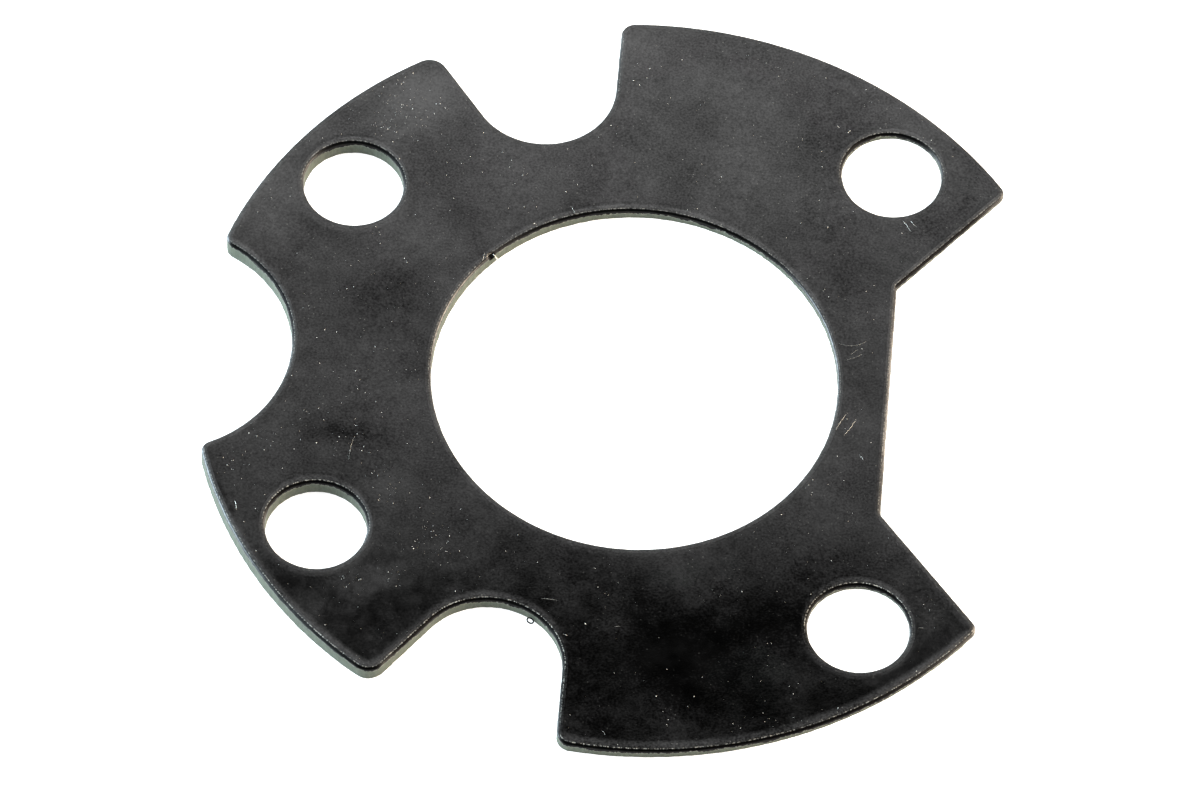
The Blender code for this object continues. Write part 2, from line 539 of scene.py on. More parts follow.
@dataclass(frozen=True)
class RimSection:
    """The upper edge as the punch leaves it: the face sags towards the rim, then turns down.

    Attributes:
        sag_depth: How far the face sags where it meets the corner.
        sag_reach: The distance over which the sag fades to a third.
        shoulder: How far in from the wall the sag starts.
        corner_radius: The radius of the turn from the sagged face into the wall.
        clearance: How far the wall lies inside the plan, so that it stays inside the plain solid.
        sag_rows: Rows of points on the sag.
        corner_rows: Rows of points on the turn.
        wall_rows: Rows of points on the wall.
    """

    sag_depth: float = 0.19 * MM
    sag_reach: float = 0.42 * MM
    shoulder: float = 1.5 * MM
    corner_radius: float = 0.33 * MM
    clearance: float = 0.01 * MM
    sag_rows: int = 7
    corner_rows: int = 7
    wall_rows: int = 8

    def upper_points(self) -> list[Point]:
        """Lays points along the sag and the turn, from the face to the wall.

        Returns:
            The points, each as how far out and how far down it is.
        """
        end_slope = math.atan(self.sag_depth / self.sag_reach)
        sag_end = -self.corner_radius * (1 - math.sin(end_slope))
        faded = math.exp(-(self.shoulder + sag_end) / self.sag_reach)
        points = []
        for row in range(self.sag_rows):
            # The rows lie closer together towards the rim.
            inward = (self.shoulder + sag_end) * (1 - row / self.sag_rows) ** 1.5
            drop = self.sag_depth * (math.exp(-inward / self.sag_reach) - faded) / (1 - faded)
            points.append((sag_end - inward, drop))
        for row in range(self.corner_rows + 1):
            angle = end_slope + (math.pi / 2 - end_slope) * row / self.corner_rows
            out = -self.corner_radius * (1 - math.sin(angle))
            drop = self.sag_depth + self.corner_radius * (math.cos(end_slope) - math.cos(angle))
            points.append((out, drop))
        return points

    def roll_depth(self) -> float:
        """Gives the depth at which the wall starts."""
        return self.upper_points()[-1][1]

    def points(self) -> list[Point]:
        """Gives the whole section, with a wall a metre tall so that its height reads as a share."""
        wall = [(0.0, self.roll_depth() + row / self.wall_rows) for row in range(1, self.wall_rows + 1)]
        return [(out - self.clearance, drop) for out, drop in self.upper_points() + wall]


def curve_object(name: str, splines: list[list[tuple[float, ...]]], closed: bool) -> bpy.types.Object:
    """Makes a curve object of straight-sided splines, as a guide for Geometry Nodes.

    Args:
        name: The object's name.
        splines: The points of each spline, with two or three numbers each.
        closed: Whether each spline's end joins its start.

    Returns:
        The curve object.
    """
    curve = bpy.data.curves.new(name, "CURVE")
    curve.dimensions = "3D"
    for points in splines:
        spline = curve.splines.new("POLY")
        spline.points.add(len(points) - 1)
        for target, point in zip(spline.points, points):
            x, y, z = (*point, 0.0)[:3]
            target.co = (x, y, z, 1.0)
        spline.use_cyclic_u = closed
    made = bpy.data.objects.new(name, curve)
    bpy.context.scene.collection.objects.link(made)
    return made


def new_tree(name: str, values: dict[str, object]) -> tuple[Tree, Sockets]:
    """Starts a Geometry Nodes tree with a geometry output and named inputs.

    Args:
        name: The tree's name.
        values: A value for each input, by name, which settles the input's type.

    Returns:
        The tree, and the sockets that give its inputs.
    """
    tree = bpy.data.node_groups.new(name, "GeometryNodeTree")
    for label, value in values.items():
        kind = next(kind for base, kind in SOCKET_KINDS.items() if isinstance(value, base))
        tree.interface.new_socket(label, in_out="INPUT", socket_type=kind)
    tree.interface.new_socket("Geometry", in_out="OUTPUT", socket_type="NodeSocketGeometry")
    return tree, tree.nodes.new("NodeGroupInput").outputs


def close_tree(tree: Tree, geometry: Socket, finishes: list[tuple[Socket, Socket | bool]]) -> None:
    """Ends a tree with real geometry and its finishes.

    Args:
        tree: The tree.
        geometry: What the tree has made.
        finishes: Each material with the faces that it goes on, later ones over earlier ones.
    """
    geometry = add_node(tree, "GeometryNodeRealizeInstances", (geometry,))
    for finish, chosen in finishes:
        inputs = {"Geometry": geometry, "Selection": chosen, "Material": finish}
        geometry = add_node(tree, "GeometryNodeSetMaterial", inputs)
    tree.links.new(geometry, tree.nodes.new("NodeGroupOutput").inputs[0])


def grow(name: str, tree: Tree, values: dict[str, object]) -> bpy.types.Object:
    """Runs a Geometry Nodes tree once and lets its result ride on the plate as a plain mesh.

    Args:
        name: The new piece's name.
        tree: The tree that makes the geometry.
        values: A value for each of the tree's inputs, by name.

    Returns:
        The piece, at the origin, with no modifier.
    """
    piece = bpy.data.objects.new(name, bpy.data.meshes.new(name))
    bpy.context.scene.collection.objects.link(piece)
    modifier = piece.modifiers.new("growth", "NODES")
    modifier.node_group = tree
    for item in tree.interface.items_tree:
        if item.item_type == "SOCKET" and item.in_out == "INPUT":
            modifier[item.identifier] = values[item.name]
    graph = bpy.context.evaluated_depsgraph_get()
    mesh = bpy.data.meshes.new_from_object(piece.evaluated_get(graph))
    mesh.name = name
    piece.modifiers.remove(modifier)
    piece.data = mesh
    while mesh.materials and mesh.materials[0] is None:
        mesh.materials.pop(index=0)
    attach(piece, BODY)
    return piece


def put_away(*guides: bpy.types.Object) -> None:
    """Removes guide objects once the pieces that need them are made."""
    for guide in guides:
        bpy.data.objects.remove(guide)


def report(piece: bpy.types.Object) -> None:
    """Logs a finished piece's name, triangles and materials.

    Args:
        piece: The piece.
    """
    piece.data.calc_loop_triangles()
    finishes = ", ".join(material.name for material in piece.data.materials)
    LOG.info("%s: %d triangles, finished in %s", piece.name, len(piece.data.loop_triangles), finishes)


def new_material(name: str) -> tuple[bpy.types.Material, Tree, bpy.types.Node]:
    """Starts a material.

    Args:
        name: The material's name.

    Returns:
        The material, its node tree and its Principled shader.
    """
    material = bpy.data.materials.new(name)
    material.use_nodes = True
    tree = material.node_tree
    return material, tree, tree.nodes["Principled BSDF"]


@dataclass(frozen=True)
class OxideAndSheenPatch:
    """A soft patch that is lighter or darker than around it. Some are cloudy oxide, and some are painted
    sheen and painted shade.

    Attributes:
        x: The middle of the patch, in millimetres.
        y: The middle of the patch, in millimetres.
        length: Half its length, in millimetres.
        width: Half its width, in millimetres.
        turn: How far its length is turned from X, in degrees.
        gain: How much lighter it is, negative for darker.
    """

    x: float
    y: float
    length: float
    width: float
    turn: float
    gain: float


@dataclass(frozen=True)
class BlackOxide:
    """Black oxide on ground low-carbon steel.

    A hot salt bath turns the steel's own skin into magnetite a micron thick. It mirrors dimly, like
    a dark metal, and it is cloudy where the bath and the oil afterwards acted unevenly. The grains
    and the flecks are drawn coarser than the real ones, so that they show. A few broad patches are
    painted sheen and painted shade: lighter over the +Y end and darker over the -Y middle, as the
    reflection across the face rises and falls.

    Attributes:
        dark: The darkest oxide.
        light: The lightest oxide.
        fleck: Dust too fine to model, in the pores.
        cloud_size: From one broad cloud to the next.
        mottle_size: From one small cloud to the next.
        mottle_gain: How strong the small clouds are.
        grain_size: From one grain of the ground surface to the next.
        grain_gain: How strong the grains' tone is.
        fleck_spacing: From one fleck to the next.
        fleck_reach: Where a fleck starts and where it is full, in shares of the spacing.
        fleck_strength: How much the strongest fleck covers.
        haze_size: From one hazy place to the next, where oil has dried on.
        wave_size: From one faint wave of the face to the next.
        wave_height: How high the waves stand.
        roughness: The roughness where the face is clearest and where it is haziest.
        patches: The patches that are lighter or darker, cloudy oxide and painted sheen and shade.
    """

    dark: str = "1c1c1c"
    light: str = "606060"
    fleck: str = "a9a9a2"
    cloud_size: float = 11 * MM
    mottle_size: float = 1.7 * MM
    mottle_gain: float = 0.38
    grain_size: float = 0.28 * MM
    grain_gain: float = 0.95
    fleck_spacing: float = 0.6 * MM
    fleck_reach: tuple[float, float] = (0.16, 0.08)
    fleck_strength: float = 0.5
    haze_size: float = 5 * MM
    wave_size: float = 1.3 * MM
    wave_height: float = 0.008 * MM
    roughness: tuple[float, float] = (0.14, 0.24)
    patches: tuple[OxideAndSheenPatch, ...] = (
        OxideAndSheenPatch(-26.4, 40.9, 9.0, 6.0, 60.0, 0.5),
        # Painted sheen: a broad lighter patch over the +Y end, where the face's reflection is brightest.
        OxideAndSheenPatch(2.0, 50.0, 20.0, 12.0, 0.0, 0.2),
        OxideAndSheenPatch(-45.0, 20.0, 12.0, 8.0, 60.0, 0.25),
        OxideAndSheenPatch(-25.0, 3.0, 9.0, 16.0, 0.0, -0.15),
        OxideAndSheenPatch(-34.0, -12.2, 8.0, 3.0, -5.0, -0.35),
        # Painted shade: broad dark patches over the -Y middle and the lower right, where the face's
        # reflection falls off.
        OxideAndSheenPatch(10.0, -43.0, 40.0, 21.0, 0.0, -0.6),
        OxideAndSheenPatch(28.0, -28.0, 17.0, 11.0, 35.0, -0.35),
        OxideAndSheenPatch(-26.0, -20.5, 5.0, 3.5, 20.0, 0.25),
        OxideAndSheenPatch(-19.0, -28.5, 6.0, 4.0, 10.0, 0.2),
        OxideAndSheenPatch(-27.0, -34.5, 6.0, 2.5, 10.0, 0.25),
    )

    def tone(self, tree: Tree, place: Socket) -> Socket:
        """Lays the clouds, grains and patches over each other, with the painted sheen and shade of some
        patches.

        Args:
            tree: The material's tree.
            place: The place on the object.

        Returns:
            The tone, 0 for the darkest oxide and 1 for the lightest.
        """
        tone = add_node(tree, "ShaderNodeTexNoise", pattern_inputs(place, self.cloud_size, 3.0, 0.6))
        mottle = pattern_inputs(place, self.mottle_size, 3.0, 0.6)
        grain = pattern_inputs(place, self.grain_size, 1.0)
        for inputs, gain in ((mottle, self.mottle_gain), (grain, self.grain_gain)):
            pattern = add_node(tree, "ShaderNodeTexNoise", inputs)
            centred = add_node(tree, "ShaderNodeMath", (pattern, 0.5), operation="SUBTRACT")
            tone = add_node(tree, "ShaderNodeMath", (centred, gain, tone), operation="MULTIPLY_ADD")
        # Patches of cloudy oxide, and broad patches of painted sheen and painted shade.
        for patch in self.patches:
            inputs = {
                "Vector": place,
                "Location": (patch.x * MM, patch.y * MM, 0.0),
                "Rotation": (0.0, 0.0, math.radians(patch.turn)),
                "Scale": (patch.length * MM, patch.width * MM, 1.0),
            }
            local = add_node(tree, "ShaderNodeMapping", inputs, vector_type="TEXTURE")
            spot = add_node(tree, "ShaderNodeTexGradient", (local,), "Fac", gradient_type="SPHERICAL")
            tone = add_node(tree, "ShaderNodeMath", (spot, patch.gain, tone), operation="MULTIPLY_ADD")
        return tone

    def colour(self, tree: Tree, place: Socket) -> Socket:
        """Gives the oxide's colour, with the pale flecks.

        Args:
            tree: The material's tree.
            place: The place on the object.

        Returns:
            The colour.
        """
        inputs = {0: self.tone(tree, place), 6: linear(self.dark), 7: linear(self.light)}
        base = add_node(tree, "ShaderNodeMix", inputs, 2, data_type="RGBA")
        inputs = {"Vector": place, "Scale": 1 / self.fleck_spacing}
        distance = add_node(tree, "ShaderNodeTexVoronoi", inputs, "Distance")
        chance = add_node(tree, "ShaderNodeSeparateColor", (distance.node.outputs["Color"],))
        near = add_node(tree, "ShaderNodeMapRange", (distance, *self.fleck_reach), **SMOOTH)
        # A little under half of the cells have a fleck, each of its own strength.
        inputs = (chance, 0.55, 1.0, 0.0, self.fleck_strength)
        strength = add_node(tree, "ShaderNodeMapRange", inputs, **SMOOTH)
        share = add_node(tree, "ShaderNodeMath", (near, strength), operation="MULTIPLY")
        inputs = {0: share, 6: base, 7: linear(self.fleck)}
        return add_node(tree, "ShaderNodeMix", inputs, 2, data_type="RGBA")

    def material(self) -> bpy.types.Material:
        """Makes the finish of the plate's two faces.

        Returns:
            The material.
        """
        material, tree, shader = new_material("black_oxide_steel")
        place = add_node(tree, "ShaderNodeTexCoord", output="Object")
        haze = add_node(tree, "ShaderNodeTexNoise", pattern_inputs(place, self.haze_size, 4.0, 0.65))
        waves = add_node(tree, "ShaderNodeTexNoise", pattern_inputs(place, self.wave_size))
        pits = add_node(tree, "ShaderNodeTexNoise", pattern_inputs(place, self.grain_size, 1.0))
        # The pits between the grains are a quarter as deep as the waves.
        height = add_node(tree, "ShaderNodeMath", (pits, 0.25, waves), operation="MULTIPLY_ADD")
        bump = {"Height": height, "Strength": 1.0, "Distance": self.wave_height}
        inputs = {
            "Base Color": self.colour(tree, place),
            "Metallic": 1.0,
            "Roughness": add_node(tree, "ShaderNodeMapRange", (haze, 0.3, 0.7, *self.roughness), **SMOOTH),
            "Normal": add_node(tree, "ShaderNodeBump", bump),
        }
        set_inputs(tree, shader, inputs)
        return material


@dataclass(frozen=True)
class Wall:
    """What the finish of the cut edge reads at each place of the wall.

    Attributes:
        place: The place on the object.
        depth: How far down from the upper face it is, in millimetres.
        facing: How far the wall faces along Y.
        nicked: How much of the bore's nick is there, 0 or 1 with a soft border.
    """

    place: Socket
    depth: Socket
    facing: Socket
    nicked: Socket


@dataclass(frozen=True)
class ShearedEdge:
    """The cut edge of the stamping, from the rounded rim down to the break.

    The punch first draws the face round and burnishes a narrow band. The band is black, partly from
    the scale and quench oil that it holds and partly as painted shade and dark reflection, whole on
    walls that face -Y and fading on walls that face the sides. Below a ragged line the steel tore, and
    that part is a dull, grainy grey-green. Along the rolled rim, short bright dashes are painted
    glints, most of them on walls that face -Y. Depths are in millimetres.

    Attributes:
        oxide: The finish of the rolled rim, as on the faces.
        bore_x: The place of the bore's centre on X.
        depth_attribute: The plate's attribute for the depth.
        side_attribute: The plate's attribute for the way that the wall faces.
        nick_attribute: The plate's attribute for the nick.
        hole_ring: How far from the bore's centre the ring of holes and notches starts and ends.
        ring_fade: How wide the ring's soft outer border is.
        narrow_turn: Where the band starts and is whole on the bore and the round rim, as facings.
        wide_turn: The same on the small holes and notches.
        scale: The black of the band, partly scale and partly painted shade and dark reflection.
        torn_dark: The darkest torn steel.
        torn_light: The lightest torn steel.
        bare: The thin bright lip along the tear.
        painted_glint_colour: The colour of the painted glints on the rim.
        rolled_until: The depth at which the rolled rim ends.
        band_until: The depth at which the tear starts.
        open_rise: How much higher the tear starts where there is no band.
        torn_from: The depth above which nothing is torn.
        lip: How wide the lip is.
        raggedness: How far the tear's line wanders.
        tear_size: From one tooth of the tear's line to the next.
        swell_size: From one swell of the tear's line to the next.
        grit_size: From one grain of the band's upper border to the next.
        grit_depth: How far that border wanders.
        torn_size: From one streak of the torn steel to the next.
        torn_relief: How deep the streaks are.
        glint_rows: The depths where the painted glints start, are whole, start to end and end.
        glint_size: From one painted glint to the next.
        glint_stretch_size: From one stretch with more painted glints to the next.
    """

    oxide: BlackOxide
    bore_x: float
    depth_attribute: str
    side_attribute: str
    nick_attribute: str
    hole_ring: tuple[float, float] = (35 * MM, 55.5 * MM)
    ring_fade: float = 5 * MM
    narrow_turn: tuple[float, float] = (-0.35, -0.9)
    wide_turn: tuple[float, float] = (0.25, -0.35)
    # The band's black is partly scale and partly painted shade and dark reflection.
    scale: str = "040404"
    torn_dark: str = "454b41"
    torn_light: str = "596153"
    bare: str = "a2a29c"
    # Painted glints: bright dashes along the rolled rim, mostly on walls that face -Y.
    painted_glint_colour: str = "bcbcb5"
    rolled_until: float = 0.15
    band_until: float = 0.75
    open_rise: float = 0.45
    torn_from: float = 0.42
    lip: float = 0.1
    raggedness: float = 0.9
    tear_size: float = 0.42 * MM
    swell_size: float = 3 * MM
    grit_size: float = 0.3 * MM
    grit_depth: float = 0.09
    torn_size: float = 0.3 * MM
    torn_relief: float = 0.03 * MM
    glint_rows: tuple[float, float, float, float] = (0.1, 0.115, 0.13, 0.145)
    glint_size: float = 0.22 * MM
    glint_stretch_size: float = 7 * MM

    def wall(self, tree: Tree) -> Wall:
        """Reads the plate's attributes.

        Args:
            tree: The material's tree.

        Returns:
            What the patterns of the edge read.
        """
        depth = add_node(tree, "ShaderNodeAttribute", output="Fac", attribute_name=self.depth_attribute)
        side = add_node(tree, "ShaderNodeAttribute", output="Vector", attribute_name=self.side_attribute)
        nicked = add_node(tree, "ShaderNodeAttribute", output="Fac", attribute_name=self.nick_attribute)
        return Wall(
            place=add_node(tree, "ShaderNodeTexCoord", output="Object"),
            depth=depth,
            facing=add_node(tree, "ShaderNodeSeparateXYZ", (side,), "Y"),
            nicked=add_node(tree, "ShaderNodeMapRange", (nicked, 0.01, 0.1), **SMOOTH),
        )

    def band_by_facing(self, tree: Tree, wall: Wall) -> Socket:
        """Works out how much of the black band each stretch of the walls shows, by the way that it faces.

        The band is painted shade and dark reflection as well as scale: it is whole on walls that face -Y
        and fades on walls that face the sides. The walls of the small holes and notches show it over
        more of their turn than the bore and the round rim.

        Args:
            tree: The material's tree.
            wall: What the patterns read.

        Returns:
            The share of the band.
        """
        inputs = (wall.place, (self.bore_x, 0.0, 0.0))
        reach = add_node(tree, "ShaderNodeVectorMath", inputs, "Value", operation="DISTANCE")
        nearest, furthest = self.hole_ring
        past_bore = add_node(tree, "ShaderNodeMapRange", (reach, nearest - MM, nearest), **SMOOTH)
        inputs = (reach, furthest, furthest - self.ring_fade)
        before_rim = add_node(tree, "ShaderNodeMapRange", inputs, **SMOOTH)
        in_ring = add_node(tree, "ShaderNodeMath", (past_bore, before_rim), operation="MULTIPLY")
        # Painted shade and dark reflection: the band is whole on walls that face -Y and fades on walls
        # that face the sides.
        narrow = add_node(tree, "ShaderNodeMapRange", (wall.facing, *self.narrow_turn), **SMOOTH)
        wide = add_node(tree, "ShaderNodeMapRange", (wall.facing, *self.wide_turn), **SMOOTH)
        more = add_node(tree, "ShaderNodeMath", (wide, narrow), operation="SUBTRACT")
        return add_node(tree, "ShaderNodeMath", (in_ring, more, narrow), operation="MULTIPLY_ADD")

    def band(self, tree: Tree, wall: Wall, band_by_facing: Socket) -> Socket:
        """Works out where the black band lies, with the nick painted as black as the band for the shade in
        its hollow.

        Args:
            tree: The material's tree.
            wall: What the patterns read.
            band_by_facing: How much of the band the wall shows, by the way that it faces.

        Returns:
            The band's share, before the tear cuts into it.
        """
        grit = add_node(tree, "ShaderNodeTexNoise", pattern_inputs(wall.place, self.grit_size))
        grit = add_node(tree, "ShaderNodeMath", (grit, 0.5), operation="SUBTRACT")
        inputs = (grit, self.grit_depth, wall.depth)
        gritty = add_node(tree, "ShaderNodeMath", inputs, operation="MULTIPLY_ADD")
        inputs = (gritty, self.rolled_until * 0.8, self.rolled_until)
        below_roll = add_node(tree, "ShaderNodeMapRange", inputs, **SMOOTH)
        band = add_node(tree, "ShaderNodeMath", (below_roll, band_by_facing), operation="MULTIPLY")
        # The nick is painted black, as painted shade in its hollow.
        return add_node(tree, "ShaderNodeMath", (band, wall.nicked), operation="MAXIMUM")

    def ragged_depth(self, tree: Tree, wall: Wall, band_by_facing: Socket) -> Socket:
        """Works out the depth with the tear's wandering line taken into it.

        Args:
            tree: The material's tree.
            wall: What the patterns read.
            band_by_facing: How much of the band the wall shows, by the way that it faces.

        Returns:
            The depth, in millimetres.
        """
        ragged = wall.depth
        for size, detail in ((self.tear_size, 3.0), (self.swell_size, 1.0)):
            line = add_node(tree, "ShaderNodeTexNoise", pattern_inputs(wall.place, size, detail))
            line = add_node(tree, "ShaderNodeMath", (line, 0.5), operation="SUBTRACT")
            inputs = (line, self.raggedness, ragged)
            ragged = add_node(tree, "ShaderNodeMath", inputs, operation="MULTIPLY_ADD")
        bare = add_node(tree, "ShaderNodeMath", (1.0, band_by_facing), operation="SUBTRACT")
        return add_node(tree, "ShaderNodeMath", (bare, self.open_rise, ragged), operation="MULTIPLY_ADD")

    def torn(self, tree: Tree, wall: Wall, ragged: Socket) -> Socket:
        """Works out where the steel tore, below a line that is soft over less than 0.1 mm.

        Args:
            tree: The material's tree.
            wall: What the patterns read.
            ragged: The ragged depth.

        Returns:
            The torn steel's share.
        """
        inputs = (ragged, self.band_until - 0.05, self.band_until + 0.03)
        below_line = add_node(tree, "ShaderNodeMapRange", inputs, **SMOOTH)
        inputs = (wall.depth, self.torn_from - 0.08, self.torn_from)
        deep = add_node(tree, "ShaderNodeMapRange", inputs, **SMOOTH)
        torn = add_node(tree, "ShaderNodeMath", (below_line, deep), operation="MULTIPLY")
        whole = add_node(tree, "ShaderNodeMath", (1.0, wall.nicked), operation="SUBTRACT")
        return add_node(tree, "ShaderNodeMath", (torn, whole), operation="MULTIPLY")

    def painted_glints(self, tree: Tree, wall: Wall) -> Socket:
        """Works out where painted glints lie on the rolled rim, in bright dashes that are denser towards
        -Y.

        Args:
            tree: The material's tree.
            wall: What the patterns read.

        Returns:
            The share of painted glint.
        """
        start, whole, fading, end = self.glint_rows
        glint_dashes = add_node(tree, "ShaderNodeTexNoise", pattern_inputs(wall.place, self.glint_size, 1.0))
        glint_stretches = add_node(tree, "ShaderNodeTexNoise", pattern_inputs(wall.place, self.glint_stretch_size, 1.0))
        along = add_node(tree, "ShaderNodeSeparateXYZ", (wall.place,), "Y")
        ranges = (
            # Painted glint dashes and the thin row of the roll that they lie on.
            (glint_dashes, 0.48, 0.62),
            (wall.depth, start, whole),
            (wall.depth, end, fading),
            # Fewer painted glints towards +Y, and none on walls that face that way.
            (along, 15 * MM, -25 * MM, 0.5, 1.0),
            (wall.facing, 0.3, -0.15),
            # Some stretches have more painted glints than others.
            (glint_stretches, 0.35, 0.55, 0.6, 1.0),
        )
        shares = [add_node(tree, "ShaderNodeMapRange", inputs, **SMOOTH) for inputs in ranges]
        painted_glints = shares[0]
        for share in shares[1:]:
            painted_glints = add_node(tree, "ShaderNodeMath", (painted_glints, share), operation="MULTIPLY")
        return painted_glints

    def material(self) -> bpy.types.Material:
        """Makes the finish of the walls of the outline, the bore and the holes.

        Returns:
            The material.
        """
        material, tree, shader = new_material("sheared_steel_edge")
        wall = self.wall(tree)
        band_by_facing = self.band_by_facing(tree, wall)
        band = self.band(tree, wall, band_by_facing)
        ragged = self.ragged_depth(tree, wall, band_by_facing)
        torn = self.torn(tree, wall, ragged)
        painted_glints = self.painted_glints(tree, wall)

        # The torn steel has streaks that run down the wall, and a bright lip along the tear.
        inputs = {"Vector": wall.place, "Scale": (1.0, 1.0, 0.3)}
        streaks = pattern_inputs(add_node(tree, "ShaderNodeMapping", inputs), self.torn_size, 3.0, 0.6)
        streaks = add_node(tree, "ShaderNodeTexNoise", streaks)
        share = add_node(tree, "ShaderNodeMapRange", (streaks, 0.2, 0.8), **SMOOTH)
        inputs = {0: share, 6: linear(self.torn_dark), 7: linear(self.torn_light)}
        steel = add_node(tree, "ShaderNodeMix", inputs, 2, data_type="RGBA")
        inputs = (ragged, self.band_until + self.lip, self.band_until, 0.0, 0.5)
        on_lip = add_node(tree, "ShaderNodeMapRange", inputs, **SMOOTH)
        inputs = {0: on_lip, 6: steel, 7: linear(self.bare)}
        steel = add_node(tree, "ShaderNodeMix", inputs, 2, data_type="RGBA")

        colour = self.oxide.colour(tree, wall.place)
        # The black band holds painted shade and dark reflection besides scale, and the bright dashes are
        # painted glints.
        for share, layer in ((band, linear(self.scale)), (torn, steel), (painted_glints, linear(self.painted_glint_colour))):
            inputs = {0: share, 6: colour, 7: layer}
            colour = add_node(tree, "ShaderNodeMix", inputs, 2, data_type="RGBA")

        # The black band of scale and painted shade is no metal, the torn steel is only partly bare, and
        # the painted glint dashes are dull.
        metal = add_node(tree, "ShaderNodeMath", (1.0, band), operation="SUBTRACT")
        less = add_node(tree, "ShaderNodeMath", (0.35, metal), operation="SUBTRACT")
        metal = add_node(tree, "ShaderNodeMath", (torn, less, metal), operation="MULTIPLY_ADD")
        clean = add_node(tree, "ShaderNodeMath", (painted_glints, -0.7, 1.0), operation="MULTIPLY_ADD")
        relief = add_node(tree, "ShaderNodeMapRange", (torn, 0.0, 1.0, 0.1, 0.5), **SMOOTH)
        bump = {"Height": streaks, "Strength": relief, "Distance": self.torn_relief}
        gloss = add_node(tree, "ShaderNodeMapRange", (torn, 0.0, 1.0, 0.05, 0.5), **SMOOTH)
        inputs = {
            "Base Color": colour,
            "Metallic": add_node(tree, "ShaderNodeMath", (metal, clean), operation="MULTIPLY"),
            "Specular IOR Level": gloss,
            "Roughness": add_node(tree, "ShaderNodeMapRange", (torn, 0.0, 1.0, 0.34, 0.62), **SMOOTH),
            "Normal": add_node(tree, "ShaderNodeBump", bump),
        }
        set_inputs(tree, shader, inputs)
        return material


@dataclass(frozen=True)
class SpottedFinish:
    """A finish of two tones in soft spots.

    Attributes:
        name: The material's name.
        dark: The dark tone.
        light: The light tone.
        spot_size: From one spot to the next.
        values: The shader's own values.
    """

    name: str
    dark: str
    light: str
    spot_size: float
    values: dict[str, float]

    def material(self) -> bpy.types.Material:
        """Makes the finish.

        Returns:
            The material.
        """
        material, tree, shader = new_material(self.name)
        place = add_node(tree, "ShaderNodeTexCoord", output="Object")
        spots = add_node(tree, "ShaderNodeTexNoise", pattern_inputs(place, self.spot_size))
        share = add_node(tree, "ShaderNodeMapRange", (spots, 0.35, 0.65), **SMOOTH)
        inputs = {0: share, 6: linear(self.dark), 7: linear(self.light)}
        colour = add_node(tree, "ShaderNodeMix", inputs, 2, data_type="RGBA")
        set_inputs(tree, shader, {"Base Color": colour, **self.values})
        return material


# Bright bare steel, where a burr or a scratch has broken through the oxide: a metal, softly shiny.
BARE_STEEL_BURR = SpottedFinish(
    "bare_steel_burr", "8f8f89", "d8d7d0", 0.2 * MM, {"Metallic": 1.0, "Roughness": 0.42}
)

# Workshop dust: matt, pale mineral and lint grains with no gloss.
PALE_WORKSHOP_DUST = SpottedFinish(
    "pale_workshop_dust", "9c9b93", "dcdbd4", 2 * MM, {"Roughness": 0.9, "Specular IOR Level": 0.2}
)


